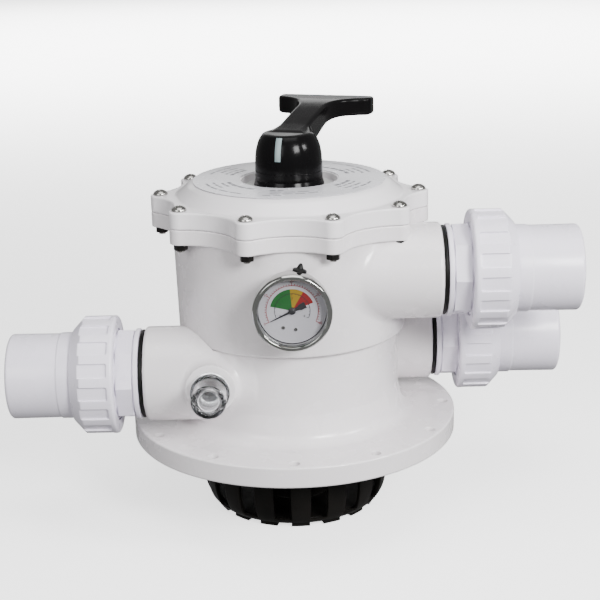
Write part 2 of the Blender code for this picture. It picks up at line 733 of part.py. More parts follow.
def make_indicator(mark, pivot):
    """A thin stripe down the hub, opposite the arm."""
    half = 0.0025
    low, high, steps, slip = 0.002, 0.0225, 6, 0.0001
    sections = []
    for i in range(steps + 1):
        height = low + (high - low) * i / steps
        slope = (bell_radius(height + slip) - bell_radius(height - slip)) / (2 * slip)
        outward = Vector((0.0, -1.0, -slope)).normalized()
        skin = Vector((0.0, -bell_radius(height), height))
        inner, outer = skin + outward * GAP, skin + outward * 0.0009
        sections.append([Vector((x, point.y, point.z)) for x, point in (
            (-half, inner), (half, inner), (half, outer), (-half, outer))])
    bm = bmesh.new()
    add_loft(bm, sections)
    make_object("handle_indicator", bm, mark, parent=pivot)


# ------------------------------------------------------------------ diffuser
def make_diffuser(look):
    collar = NECK_R + 0.0008
    steps = 2 * RIBS
    outline = [(0.0258, 0.003), (0.070, 0.003), (0.0795, 0.014), (BASKET_R, 0.034),
               (BASKET_R, FLANGE_LOW_Z - GAP), (collar, FLANGE_LOW_Z - GAP),
               (collar, 0.0505), (0.0795, 0.0475), (0.0795, 0.034), (0.0765, 0.017),
               (0.068, 0.007), (0.0305, 0.007), (0.0305, 0.022), (0.0258, 0.022)]
    basket = turned_object("diffuser", outline, steps, look)

    feet = bmesh.new()
    windows = bmesh.new()
    pitch = math.tau / RIBS
    for i in range(RIBS):
        turn = Matrix.Rotation(pitch * (i + FOOT_PHASE), 4, "Z")
        half = FOOT_WIDTH / 2
        add_prism(feet, [(0.058, -half * 0.8), (0.0715, -half), (0.0715, half),
                         (0.058, half * 0.8)], 0.0, 0.005, turn)
        turn = Matrix.Rotation(pitch * (i + FOOT_PHASE + 0.5), 4, "Z")
        half = WINDOW_WIDTH / 2
        add_prism(windows, [(0.0715, -half), (0.090, -half), (0.090, half), (0.0715, half)],
                  0.0085, 0.046, turn)
    combine(basket, "feet_tool", feet, "UNION")
    combine(basket, "basket_windows_tool", windows, "DIFFERENCE")


# --------------------------------------------------------------------- build
def build():
    clear_scene()
    white = (0.80, 0.79, 0.76)
    rubber = material("black_rubber", (0.012, 0.012, 0.013), 0.55)
    pvc = material("white_pvc", (0.82, 0.81, 0.85), 0.28)
    steel = material("stainless_steel", (0.56, 0.55, 0.53), 0.32, 1.0)
    dark_steel = material("dark_nut_steel", (0.05, 0.045, 0.04), 0.45, 0.8)
    chrome = material("polished_steel", (0.75, 0.75, 0.76), 0.12, 1.0)
    clear = material("clear_plastic", (0.95, 0.97, 1.0), 0.04, 0.0, 0.3)
    gloss = material("gloss_black_handle", (0.006, 0.006, 0.008), 0.14)
    acetal = material("grey_washer", (0.60, 0.60, 0.60), 0.4)

    make_lower_body(material("white_lower_body", white, 0.25))
    make_upper_body(material("white_upper_body", white, 0.25))
    make_lid(material("white_lid", white, 0.25))
    make_lid_fittings(rubber, material("grey_label", (0.62, 0.62, 0.64), 0.35), steel, dark_steel)
    for name, (side, y, z) in PORTS.items():
        make_union(name, side, y, z, pvc, rubber)
    make_sight_glass(clear, rubber)
    make_gauge(chrome, clear, material("dial_enamel", (0.85, 0.86, 0.88), 0.4),
               material("pointer_black", (0.01, 0.01, 0.01), 0.4),
               material("brass", (0.60, 0.45, 0.20), 0.35, 1.0), rubber)
    make_star_gasket(rubber)
    make_rotor(material("grey_rotor", (0.35, 0.36, 0.38), 0.4))
    make_stem(steel, rubber)
    make_spring(steel, acetal)
    make_handle(gloss, material("indicator_stripe", (0.55, 0.58, 0.58), 0.3), steel)
    make_diffuser(material("black_diffuser", (0.012, 0.012, 0.012), 0.4))


build()
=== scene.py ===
"""Looks of the multiport valve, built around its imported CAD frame.

Shapes are worked out in millimetres, in the frame of the CAD part: the origin is
on the valve's vertical axis, level with the feet of the basket, +Z is up, +X is the
pump port's side and -Y the gauge's side. Azimuths start at -Y and grow towards +X.
Moulded pieces are fields, negative inside the plastic, that contour() turns into
meshes; turned pieces are outlines of (radius, height) swept around their own Z.
"""
import math

import bmesh
import bpy
import numpy as np
from mathutils import Matrix, Vector


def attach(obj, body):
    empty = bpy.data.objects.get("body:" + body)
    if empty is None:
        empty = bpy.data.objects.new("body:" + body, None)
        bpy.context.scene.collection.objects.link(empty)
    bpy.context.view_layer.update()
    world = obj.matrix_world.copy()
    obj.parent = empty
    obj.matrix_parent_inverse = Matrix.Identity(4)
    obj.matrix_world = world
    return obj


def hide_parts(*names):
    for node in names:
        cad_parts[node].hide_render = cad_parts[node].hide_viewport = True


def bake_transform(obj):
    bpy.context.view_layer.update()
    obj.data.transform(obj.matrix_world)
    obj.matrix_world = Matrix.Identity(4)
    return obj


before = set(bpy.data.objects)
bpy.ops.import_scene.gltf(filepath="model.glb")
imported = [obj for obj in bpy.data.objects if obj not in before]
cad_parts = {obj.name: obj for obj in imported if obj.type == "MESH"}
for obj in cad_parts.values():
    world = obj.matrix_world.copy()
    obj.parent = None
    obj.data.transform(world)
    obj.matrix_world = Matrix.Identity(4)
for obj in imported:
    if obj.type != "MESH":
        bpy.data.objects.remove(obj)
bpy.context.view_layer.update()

MM = 0.001

# ---------------------------------------------------------------- dimensions
SECTORS = 6
LOWER_AXIS_Z = 134.0
UPPER_AXIS_Z = 220.0
PORT_Y = 46.0
PORTS = {"waste": (-1, -PORT_Y, LOWER_AXIS_Z), "pump": (1, -PORT_Y, UPPER_AXIS_Z),
         "return": (1, PORT_Y, LOWER_AXIS_Z)}
PORT_R = 40.0
PORT_END = 124.5
PASSAGE_R = 27.0
THREAD_R = 33.0
THREAD_START = 108.0
FLANGE_R = 142.0
FLANGE_LOW = 68.0
FLANGE_TOP = 85.5
FLANGE_HOLES = 12
FLANGE_HOLE_R = 4.25
FLANGE_PITCH_R = 132.5
LOWER_R = 92.0
SEAM_Z = 162.0
SEAT_Z = 166.0
SPIGOT_R = 90.7
BORE_R = 91.0
SIGHT_X = -68.0
GAUGE_X = 0.8
GAUGE_Z = 209.6
RIM_LOW = 252.0
RIM_TOP = 264.5
LID_LOW = 264.8
LID_RIM = 279.0
PLATEAU = 290.6
RECESS = 284.0
LOBES = 10
SCREW_R = 110.0
LOBE_CENTRE_R = 109.0
LOBE_R = 9.5
SCALLOP_R = 102.5
PIN_Z = 308.0
ARM_TURN = math.radians(-18.5)
BELL_R = 28.6
BELL_START = -10.0
BELL_TOP = 23.0
BELL_HEIGHT = 38.0
RIBS = 16
FOOT_PHASE = 0.13
BASKET_R = 83.0
HALF_LENGTH = 239.0
NUT_START = 147.8
NUT_END = 185.0


# -------------------------------------------------------------- field helpers
def either(a, b, fillet=0.0):
    """Both shapes together, with a hollow fillet between them."""
    if not fillet:
        return np.minimum(a, b)
    near = np.hypot(np.maximum(fillet - a, 0.0), np.maximum(fillet - b, 0.0))
    return np.maximum(fillet, np.minimum(a, b)) - near


def both(a, b, edge=0.0):
    """What two shapes share, its edge rounded."""
    if not edge:
        return np.maximum(a, b)
    near = np.hypot(np.maximum(edge + a, 0.0), np.maximum(edge + b, 0.0))
    return np.minimum(-edge, np.maximum(a, b)) + near


def cut(a, b, edge=0.0):
    """The first shape less the second."""
    return both(a, -b, edge)


def between(value, low, high):
    return np.maximum(low - value, value - high)


def disc(r, z, radius, low, high, edge=0.0):
    return both(r - radius, between(z, low, high), edge)


def fold(angle, pitch):
    """Angle from the nearest multiple of pitch."""
    return (angle + pitch / 2) % pitch - pitch / 2


def azimuth(x, y):
    return np.arctan2(x, -y)


# ------------------------------------------------------------------ contouring
def gradient(field, points):
    """Unit slope of the field at an array of points."""
    step = 0.02
    total = np.zeros_like(points)
    for way in ((1, -1, -1), (-1, -1, 1), (-1, 1, -1), (1, 1, 1)):
        way = np.array(way, float)
        total += way * field(*(points + step * way).T)[:, None]
    return total / np.maximum(np.linalg.norm(total, axis=1, keepdims=True), 1e-9)


def crossing_points(field, a, b, fa, fb):
    """Where the field is zero between the points a, inside, and b, outside, or the reverse."""
    for _ in range(4):
        share = np.clip(fa / (fa - fb), 0.02, 0.98)
        middle = a + share[:, None] * (b - a)
        value = field(*middle.T)
        same = (value < 0) == (fa < 0)
        a = np.where(same[:, None], middle, a)
        fa = np.where(same, value, fa)
        b = np.where(same[:, None], b, middle)
        fb = np.where(same, fb, value)
    share = fa / (fa - fb)
    return a + share[:, None] * (b - a)


def contour(field, axes, turned=False):
    """Points, four-sided faces and corner normals of the surface where field is zero.

    The grid runs along axes: x, y, z, or when turned: angle, radius, height. Each
    cell that the surface crosses gets one point, where its tangent planes meet, so
    sharp edges stay sharp.
    """
    grid = np.meshgrid(*axes, indexing="ij")
    if turned:
        angle, radius, height = grid
        grid = [radius * np.cos(angle), radius * np.sin(angle), height]
    values = field(*grid)
    where = np.stack(grid, -1)
    shape = values.shape
    quads, points, normals = [], [], []
    for axis in range(3):
        u, v = (axis + 1) % 3, (axis + 2) % 3
        crossed = (values < 0) != (np.roll(values, -1, axis) < 0)
        if not (turned and axis == 0):
            crossed[tuple(-1 if k == axis else slice(None) for k in range(3))] = False
        low = np.argwhere(crossed)
        high = low.copy()
        high[:, axis] = (high[:, axis] + 1) % shape[axis]
        at_low, at_high = values[tuple(low.T)], values[tuple(high.T)]
        spots = crossing_points(field, where[tuple(low.T)], where[tuple(high.T)], at_low, at_high)
        corners = []
        for du, dv in ((-1, -1), (0, -1), (0, 0), (-1, 0)):
            cell = low.copy()
            cell[:, u] += du
            cell[:, v] += dv
            corners.append(np.ravel_multi_index(cell.T, shape, mode="wrap"))
        quad = np.stack(corners, 1)
        flip = (at_low >= 0) != turned
        quad[flip] = quad[flip][:, ::-1]
        quads.append(quad)
        points.append(spots)
        normals.append(gradient(field, spots))
    quads, points, normals = (np.concatenate(part) for part in (quads, points, normals))
    cells, quads = np.unique(quads, return_inverse=True)
    quads = quads.reshape(-1, 4)
    corners = meeting_points(quads, points, normals, len(cells))
    return corners, quads, corner_normals(field, corners, quads)


def meeting_points(quads, points, normals, count):
    """For each cell, the point nearest to all tangent planes of its crossings."""
    owner = quads.ravel()

    def total(weights):
        return np.bincount(owner, np.repeat(weights, 4), count)

    share = total(np.ones(len(points)))
    middle = np.stack([total(points[:, i]) for i in range(3)], 1) / share[:, None]
    spread = total((points ** 2).sum(1)) / share - (middle ** 2).sum(1)
    planes = np.empty((count, 3, 3))
    offset = np.empty((count, 3))
    reach = (normals * points).sum(1)
    for i in range(3):
        offset[:, i] = total(normals[:, i] * reach) / share
        for j in range(3):
            planes[:, i, j] = total(normals[:, i] * normals[:, j]) / share
    offset -= (planes @ middle[:, :, None])[:, :, 0]
    move = np.linalg.solve(planes + 0.01 * np.eye(3), offset[:, :, None])[:, :, 0]
    limit = 1.8 * np.sqrt(np.maximum(spread, 1e-9))
    length = np.maximum(np.linalg.norm(move, axis=1), 1e-9)
    return middle + move * np.minimum(1.0, limit / length)[:, None]


def corner_normals(field, corners, quads):
    """The field's slope just inside each face corner, so edges shade as crisp as they are."""
    around = corners[quads]
    centre = around.mean(1, keepdims=True)
    flat = np.cross(around[:, 2] - around[:, 0], around[:, 3] - around[:, 1])
    flat /= np.maximum(np.linalg.norm(flat, axis=1, keepdims=True), 1e-12)
    slope = gradient(field, (around + 0.35 * (centre - around)).reshape(-1, 3))
    flat = np.repeat(flat, 4, axis=0)
    good = (slope * flat).sum(1) > 0.3
    return np.where(good[:, None], slope, flat)


def from_contour(name, shape, look, place=Matrix()):
    """One object from a contour in millimetres, set at place, in metres."""
    corners, quads, normals = shape
    turn = np.array(place.to_3x3())
    mesh = bpy.data.meshes.new(name)
    mesh.vertices.add(len(corners))
    mesh.vertices.foreach_set("co", (corners * MM @ turn.T + np.array(place.translation)).ravel())
    mesh.loops.add(quads.size)
    mesh.loops.foreach_set("vertex_index", quads.ravel().astype(np.int32))
    mesh.polygons.add(len(quads))
    mesh.polygons.foreach_set("loop_start", np.arange(0, quads.size, 4, dtype=np.int32))
    mesh.update(calc_edges=True)
    mesh.shade_smooth()
    mesh.normals_split_custom_set((normals @ turn.T).tolist())
    return new_object(name, mesh, look)


def moulded(name, field, axes, look, place=Matrix(), turned=False):
    """One object from a field in its own frame."""
    return from_contour(name, contour(field, axes, turned), look, place)


def steps(*stops):
    """A grid axis: (start, step), (start, step), ..., end."""
    marks = []
    for (start, pitch), after in zip(stops, stops[1:]):
        end = after[0] if isinstance(after, tuple) else after
        count = max(1, round((end - start) / pitch))
        marks.append(start + (end - start) * np.arange(count) / count)
    return np.concatenate(marks + [[float(stops[-1])]])


def turns_near(count, phase, fine_half, fine, coarse):
    """Angles round a circle, closer together near count equal places."""
    pitch = 360.0 / count
    near = np.arange(-fine_half, fine_half + fine / 2, fine)
    gaps = max(2, round((pitch - 2 * fine_half) / coarse))
    far = fine_half + (pitch - 2 * fine_half) * np.arange(1, gaps) / gaps
    cell = np.concatenate([near, far])
    return np.radians(np.sort(np.concatenate([(cell + phase + pitch * i) % 360.0
                                              for i in range(count)])))


# -------------------------------------------------------------- mesh helpers
def new_object(name, mesh, look):
    made = bpy.data.objects.new(name, mesh)
    bpy.context.scene.collection.objects.link(made)
    if look:
        mesh.materials.append(look)
    return made


def with_arcs(outline, closed, arc_steps=5):
    """The outline with each (radius, height, arc) corner replaced by an arc."""
    result = []
    for i, corner in enumerate(outline):
        if len(corner) == 2 or (not closed and i in (0, len(outline) - 1)):
            result.append(tuple(corner[:2]))
            continue
        here = Vector(corner[:2])
        back = (Vector(outline[i - 1][:2]) - here).normalized()
        on = (Vector(outline[(i + 1) % len(outline)][:2]) - here).normalized()
        half = back.angle(on) / 2
        centre = here + (back + on).normalized() * corner[2] / math.sin(half)
        first = here + back * corner[2] / math.tan(half) - centre
        last = here + on * corner[2] / math.tan(half) - centre
        for k in range(arc_steps + 1):
            ray = first * (1 - k / arc_steps) + last * k / arc_steps
            point = centre + ray.normalized() * corner[2]
            result.append((point.x, point.y))
    return result


def turned(name, outline, look, place=Matrix(), sides=96, closed=True, sharp=35):
    """A solid swept around Z by an outline in millimetres.

    An open outline starts and ends on the axis, or is capped there.
    """
    path = with_arcs(outline, closed)
    if not closed:
        path = [(0.0, path[0][1])] + path + [(0.0, path[-1][1])]
    bm = bmesh.new()
    rings = []
    for radius, height in path:
        if radius < 1e-6:
            rings.append([bm.verts.new(place @ Vector((0, 0, height * MM)))] * sides)
            continue
        rings.append([bm.verts.new(place @ Vector((
            radius * MM * math.cos(math.tau * i / sides),
            radius * MM * math.sin(math.tau * i / sides), height * MM))) for i in range(sides)])
    pairs = list(zip(rings, rings[1:] + rings[:1])) if closed else list(zip(rings, rings[1:]))
    for low, high in pairs:
        for i in range(sides):
            j = (i + 1) % sides
            corners = []
            for vert in (low[i], low[j], high[j], high[i]):
                if vert not in corners:
                    corners.append(vert)
            if len(corners) > 2:
                bm.faces.new(corners)
    return from_bmesh(name, bm, look, sharp)


def from_bmesh(name, bm, look, sharp=35):
    bmesh.ops.recalc_face_normals(bm, faces=bm.faces[:])
    mesh = bpy.data.meshes.new(name)
    bm.to_mesh(mesh)
    bm.free()
    mesh.shade_smooth()
    mesh.set_sharp_from_angle(angle=math.radians(sharp))
    return new_object(name, mesh, look)


def seal(name, inner, outer, low, high, look, place=Matrix(), sides=96):
    """An O-ring: an oval section between two radii and two heights."""
    section = []
    for i in range(16):
        angle = math.tau * i / 16
        section.append(((inner + outer) / 2 + (outer - inner) / 2 * math.cos(angle),
                        (low + high) / 2 + (high - low) / 2 * math.sin(angle)))
    return turned(name, section, look, place, sides, sharp=80)


def along_x(side, y, z):
    """Placement that turns local +Z into +X or -X."""
    return (Matrix.Translation((0.0, y * MM, z * MM))
            @ Matrix.Rotation(side * math.pi / 2, 4, "Y"))


def towards_front(x, z, y=0.0):
    """Placement that turns local +Z into -Y, and local +Y into +Z."""
    return (Matrix.Translation((x * MM, y * MM, z * MM))
            @ Matrix.Rotation(math.pi / 2, 4, "X"))


def spot_at(radius, angle, height=0.0):
    return Vector((radius * math.sin(angle), -radius * math.cos(angle), height)) * MM


def stand_for(piece, body, slot, *nodes):
    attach(piece, body)
    if nodes:
        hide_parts(*nodes)
    return piece


# ------------------------------------------------------------------ materials
class Look:
    """A procedural material: a Principled shader and the nodes that drive it."""

    def __init__(self, name, roughness=0.4, metallic=0.0, **values):
        self.material = bpy.data.materials.new(name)
        self.material.use_nodes = True
        self.nodes = self.material.node_tree.nodes
        self.links = self.material.node_tree.links
        self.shader = self.nodes["Principled BSDF"]
        self.set("Roughness", roughness)
        self.set("Metallic", metallic)
        for socket, value in values.items():
            self.set(socket.replace("_", " "), value)
        self.place = self.nodes.new("ShaderNodeTexCoord").outputs["Object"]

    def set(self, socket, value):
        self.shader.inputs[socket].default_value = value

    def noise(self, scale, detail=3.0, stretch=None):
        where = self.place
        if stretch:
            mapping = self.nodes.new("ShaderNodeMapping")
            mapping.inputs["Scale"].default_value = stretch
            self.links.new(self.place, mapping.inputs["Vector"])
            where = mapping.outputs["Vector"]
        node = self.nodes.new("ShaderNodeTexNoise")
        node.inputs["Scale"].default_value = scale
        node.inputs["Detail"].default_value = detail
        self.links.new(where, node.inputs["Vector"])
        return node.outputs["Fac"]

    def grains(self, scale):
        node = self.nodes.new("ShaderNodeTexVoronoi")
        node.inputs["Scale"].default_value = scale
        self.links.new(self.place, node.inputs["Vector"])
        return node.outputs["Distance"]

    def ramp(self, source, *stops):
        """Colours along a 0 to 1 value."""
        node = self.nodes.new("ShaderNodeValToRGB")
        elements = node.color_ramp.elements
        while len(elements) < len(stops):
            elements.new(0.5)
        for element, (at, colour) in zip(elements, stops):
            element.position = at
            element.color = (*colour, 1.0)
        self.links.new(source, node.inputs["Fac"])
        return node.outputs["Color"]

    def spread(self, source, low, high, start=0.3, end=0.7):
        """A value carried from start..end to low..high."""
        node = self.nodes.new("ShaderNodeMapRange")
        for socket, value in (("From Min", start), ("From Max", end), ("To Min", low),
                              ("To Max", high)):
            node.inputs[socket].default_value = value
        self.links.new(source, node.inputs["Value"])
        return node.outputs["Result"]

    def colour(self, low, high, scale, detail=4.0, stretch=None):
        shade = self.ramp(self.noise(scale, detail, stretch), (0.3, low), (0.7, high))
        self.links.new(shade, self.shader.inputs["Base Color"])
        return self

    def wear(self, low, high, scale, detail=5.0, stretch=None):
        """Roughness that varies over the surface."""
        value = self.spread(self.noise(scale, detail, stretch), low, high)
        self.links.new(value, self.shader.inputs["Roughness"])
        return self

    def bump(self, source, depth, strength=1.0):
        """Relief; depth is in millimetres."""
        node = self.nodes.new("ShaderNodeBump")
        node.inputs["Strength"].default_value = strength
        node.inputs["Distance"].default_value = depth * MM
        self.links.new(source, node.inputs["Height"])
        before = self.shader.inputs["Normal"].links
        if before:
            self.links.new(before[0].from_socket, node.inputs["Normal"])
        self.links.new(node.outputs["Normal"], self.shader.inputs["Normal"])
        return self


def plastic(name, low, high, rough_low, rough_high, coat=0.0, ripple=0.012, specular=0.5):
    """Moulded plastic: faint flow marks in the colour, fine skin and gentle ripple."""
    look = Look(name, Coat_Weight=coat, Coat_Roughness=0.08, Specular_IOR_Level=specular)
    look.colour(low, high, 14.0).wear(rough_low, rough_high, 55.0)
    look.bump(look.noise(1500.0, 2.0), ripple).bump(look.noise(60.0, 2.0), ripple * 3)
    return look.material


def metal(name, low, high, rough_low, rough_high, stretch, relief):
    """Metal with fine brushed lines along the axis that stretch leaves long."""
    look = Look(name, metallic=1.0)
    look.colour(low, high, 60.0).wear(rough_low, rough_high, 400.0, 3.0, stretch)
    look.bump(look.noise(900.0, 2.0, stretch), relief)
    return look.material


def make_looks():
    looks = {
        "abs": plastic("white_abs_skin", (0.775, 0.74, 0.755), (0.82, 0.787, 0.802), 0.2, 0.32,
                       0.2),
        "lid": plastic("white_lid_skin", (0.83, 0.805, 0.825), (0.86, 0.835, 0.855), 0.18, 0.28,
                       0.2),
        "pvc": plastic("white_pvc_skin", (0.83, 0.795, 0.89), (0.86, 0.825, 0.92), 0.24, 0.36,
                       0.1),
        "handle": plastic("gloss_black_skin", (0.002, 0.002, 0.0022), (0.0045, 0.0042, 0.0045),
                          0.12, 0.22, 0.0, 0.004, 0.1),
        "acetal": plastic("acetal_skin", (0.52, 0.52, 0.51), (0.6, 0.6, 0.59), 0.35, 0.48),
        "rotor": plastic("grey_rotor_skin", (0.2, 0.21, 0.23), (0.26, 0.27, 0.29), 0.35, 0.5),
        "stripe": plastic("stripe_print", (0.13, 0.18, 0.185), (0.26, 0.33, 0.335), 0.25, 0.35),
        "label": plastic("label_film", (0.68, 0.675, 0.71), (0.74, 0.735, 0.77), 0.2, 0.3,
                         0.1, 0.004),
        "ink": plastic("label_ink", (0.15, 0.15, 0.17), (0.24, 0.24, 0.26), 0.35, 0.45),
        "mark": plastic("label_white_mark", (0.85, 0.85, 0.87), (0.9, 0.9, 0.92), 0.25, 0.3),
        "enamel": plastic("dial_enamel", (0.66, 0.65, 0.70), (0.72, 0.71, 0.76), 0.3, 0.4, 0.0,
                          0.003),
        "green": plastic("dial_green", (0.004, 0.13, 0.014), (0.008, 0.17, 0.022), 0.3, 0.4),
        "yellow": plastic("dial_yellow", (0.42, 0.26, 0.002), (0.48, 0.31, 0.005), 0.3, 0.4),
        "red": plastic("dial_red", (0.30, 0.004, 0.003), (0.38, 0.008, 0.006), 0.3, 0.4),
        "print": plastic("dial_print", (0.012, 0.012, 0.013), (0.025, 0.025, 0.028), 0.35, 0.45),
        "steel": metal("screw_steel", (0.34, 0.335, 0.32), (0.48, 0.47, 0.45), 0.16, 0.32,
                       (1.0, 1.0, 0.2), 0.006),
        "nut": metal("dark_nut_steel_skin", (0.02, 0.019, 0.018), (0.045, 0.042, 0.04), 0.3, 0.45,
                     (1.0, 1.0, 0.5), 0.01),
        "chrome": metal("chrome_skin", (0.34, 0.345, 0.33), (0.42, 0.425, 0.41), 0.05, 0.12,
                        (1.0, 1.0, 1.0), 0.001),
        "brass": metal("brass_skin", (0.5, 0.35, 0.13), (0.62, 0.46, 0.2), 0.25, 0.42,
                       (1.0, 0.2, 1.0), 0.006),
    }
    basket = Look("black_basket_skin", Specular_IOR_Level=0.1)
    basket.colour((0.004, 0.0037, 0.0034), (0.010, 0.009, 0.008), 30.0).wear(0.32, 0.52, 90.0)
    basket.bump(basket.grains(1400.0), 0.03).bump(basket.noise(120.0), 0.08)
    looks["basket"] = basket.material
    rubber = Look("black_rubber_skin", Specular_IOR_Level=0.15)
    rubber.colour((0.003, 0.003, 0.003), (0.007, 0.007, 0.0065), 80.0).wear(0.34, 0.5, 200.0)
    rubber.bump(rubber.noise(2200.0), 0.012)
    looks["rubber"] = rubber.material
    clear = Look("clear_cap_plastic", Transmission_Weight=1.0, IOR=1.45)
    clear.colour((0.93, 0.95, 0.97), (0.98, 0.99, 1.0), 40.0).wear(0.08, 0.16, 120.0)
    clear.bump(clear.noise(90.0, 2.0), 0.01)
    looks["clear"] = clear.material
    lens = Look("gauge_lens_plastic", Alpha=0.16)
    lens.colour((0.03, 0.03, 0.035), (0.05, 0.05, 0.055), 40.0).wear(0.02, 0.05, 120.0)
    lens.bump(lens.noise(90.0, 2.0), 0.01)
    looks["lens"] = lens.material
    return looks


# ----------------------------------------------------------------- lower body
def chamber_side(x, y, web_half=2.0):
    """Negative in the sectors between the radial webs."""
    angle = fold(azimuth(x, y), math.tau / SECTORS)
    return web_half - np.hypot(x, y) * np.sin(math.pi / SECTORS - np.abs(angle))


def is_port_sector(x, y):
    """True in the sectors at -60 and 120 degrees, which lead to the lower ports."""
    return np.abs(fold(azimuth(x, y) + math.radians(60), math.pi)) < math.radians(30)


def lower_body_field(x, y, z):
    r = np.hypot(x, y)
    shell_r = LOWER_R + 0.2 * np.clip(110.0 - z, 0.0, 25.0)
    flange = disc(r, z, FLANGE_R, FLANGE_LOW, FLANGE_TOP, 1.4)
    flange = cut(flange, disc(r, z, 86.0, 60.0, 70.0))
    body = either(both(r - shell_r, between(z, 70.0, SEAT_Z + 8.0)), flange, 9.0)
    body = either(body, disc(r, z, 76.0, 52.0, 72.0, 0.8))
    for side, port_y, _ in (PORTS["waste"], PORTS["return"]):
        along = side * x
        across = np.hypot(y - port_y, z - LOWER_AXIS_Z)
        body = either(body, both(across - PORT_R, between(along, 30.0, PORT_END), 3.4), 4.0)
    boss = np.hypot(x - SIGHT_X, z - LOWER_AXIS_Z)
    body = either(body, both(boss - 21.0, between(-y, 50.0, 90.0), 1.2), 5.0)
    body = cut(body, both(r - 99.0, SEAM_Z - z), 0.4)
    body = either(body, disc(r, z, SPIGOT_R, 150.0, SEAT_Z, 0.4))

    side_gap = chamber_side(x, y)
    port = is_port_sector(x, y)
    outer = np.where(port, np.where(z > 89.0, 86.0, 70.0),
                     70.0 + 4.0 * np.clip(z - 76.0, 0.0, 4.0))
    room = both(both(r - outer, 31.0 - r), side_gap, 2.0)
    room = both(room, between(z, 40.0, 158.0), 1.0)
    room = np.where(port, both(room, 3.0 - np.abs(z - 89.0), 1.0), room)
    window = both(both(r - 80.0, 34.0 - r), side_gap, 2.0)
    room = either(room, both(window, between(z, 155.0, 180.0)))
    body = cut(body, room, 0.3)

    for side, port_y, _ in (PORTS["waste"], PORTS["return"]):
        along = side * x
        across = np.hypot(y - port_y, z - LOWER_AXIS_Z)
        body = cut(body, both(across - THREAD_R, between(along, THREAD_START, 130.0)), 0.6)
        passage = both(across - PASSAGE_R, z - SEAT_Z + 11.0, 1.0)
        body = cut(body, both(passage, between(along, 58.0, 109.0)))
    body = cut(body, both(boss - 12.0, between(-y, 70.0, 95.0)), 0.4)
    angle = fold(azimuth(x, y), math.tau / FLANGE_HOLES)
    hole = np.hypot(r * np.cos(angle) - FLANGE_PITCH_R, r * np.sin(angle)) - FLANGE_HOLE_R
    body = cut(body, both(hole, z - 90.0), 0.5)
    return cut(body, r - 25.2, 0.4)


def make_lower_body(looks):
    axes = (turns_near(FLANGE_HOLES, 270.0, 2.4, 0.4, 1.45),
            steps((22.0, 1.4), (36.0, 2.6), (66.0, 1.25), (104.0, 2.4), (125.0, 1.1), 154.0),
            steps((49.5, 2.0), (66.5, 1.0), (98.0, 2.0), (152.0, 1.0), 176.0))
    body = moulded("lower_body_moulding", lower_body_field, axes, looks["abs"], turned=True)
    stand_for(body, "housing", "white_abs", "lower_body")


# ------------------------------------------------------------ lobed rim, lid
def lobed_distance(x, y):
    """Distance to the outline of ten lobes joined by hollow arcs tangent to them."""
    half = math.pi / LOBES
    reach = SCALLOP_R - LOBE_R
    hollow_centre = ((LOBE_CENTRE_R ** 2 - reach ** 2)
                     / (2 * (LOBE_CENTRE_R * math.cos(half) - reach)))
    hollow_r = hollow_centre - SCALLOP_R
    to_hollow = Vector((hollow_centre * math.cos(half) - LOBE_CENTRE_R,
                        hollow_centre * math.sin(half)))
    touch = Vector((LOBE_CENTRE_R, 0.0)) + to_hollow.normalized() * LOBE_R
    r = np.hypot(x, y)
    angle = np.abs(fold(azimuth(x, y) - half, math.tau / LOBES))
    out, across = r * np.cos(angle), r * np.sin(angle)
    lobe = np.hypot(out - LOBE_CENTRE_R, across) - LOBE_R
    hollow = np.hypot(out - LOBE_CENTRE_R - to_hollow.x, across - to_hollow.y) - hollow_r
    return either(lobe, both(r - touch.length, -hollow))


def screw_distance(x, y):
    """Distance in plan from the nearest lid screw's axis."""
    angle = fold(azimuth(x, y) - math.pi / LOBES, math.tau / LOBES)
    r = np.hypot(x, y)
    return np.hypot(r * np.cos(angle) - SCREW_R, r * np.sin(angle))


def upper_body_field(x, y, z):
    r = np.hypot(x, y)
    wall_r = 98.5 + (z - 166.3) / 41.85
    body = both(r - wall_r, between(z, SEAM_Z + 0.3, 260.0), 2.0)
    across = np.hypot(y + PORT_Y, z - UPPER_AXIS_Z)
    body = either(body, both(across - PORT_R, between(x, 30.0, PORT_END), 3.4), 4.0)
    rim = both(lobed_distance(x, y), between(z, RIM_LOW, RIM_TOP), 1.0)
    body = either(body, rim, 2.0)
    body = cut(body, r - BORE_R, 0.3)
    groove = both(both(r - 98.5, 94.5 - r), 262.0 - z)
    body = cut(body, groove)
    body = cut(body, both(across - THREAD_R, between(x, THREAD_START, 130.0)), 0.6)
    body = cut(body, both(across - PASSAGE_R, between(x, 55.0, 109.0)))
    body = cut(body, both(np.hypot(x - GAUGE_X, z - GAUGE_Z) - 6.8, y + 60.0), 0.4)
    body = cut(body, both(screw_distance(x, y) - 3.6, 251.0 - z))
    pocket_x, pocket_y, _ = spot_at(SCREW_R, math.radians(54)) / MM
    pocket = np.hypot(x - pocket_x, y - pocket_y) - 7.5
    return cut(body, both(pocket, between(z, 244.0, RIM_LOW)), 0.4)


def make_upper_body(looks):
    axes = (turns_near(LOBES, 288.0, 5.4, 0.6, 1.3),
            steps((88.0, 1.1), (120.0, 1.6), 154.0),
            steps((160.0, 1.0), (170.0, 2.2), (240.0, 1.0), 267.0))
    body = moulded("upper_body_moulding", upper_body_field, axes, looks["abs"], turned=True)
    stand_for(body, "housing", "white_abs", "upper_body")


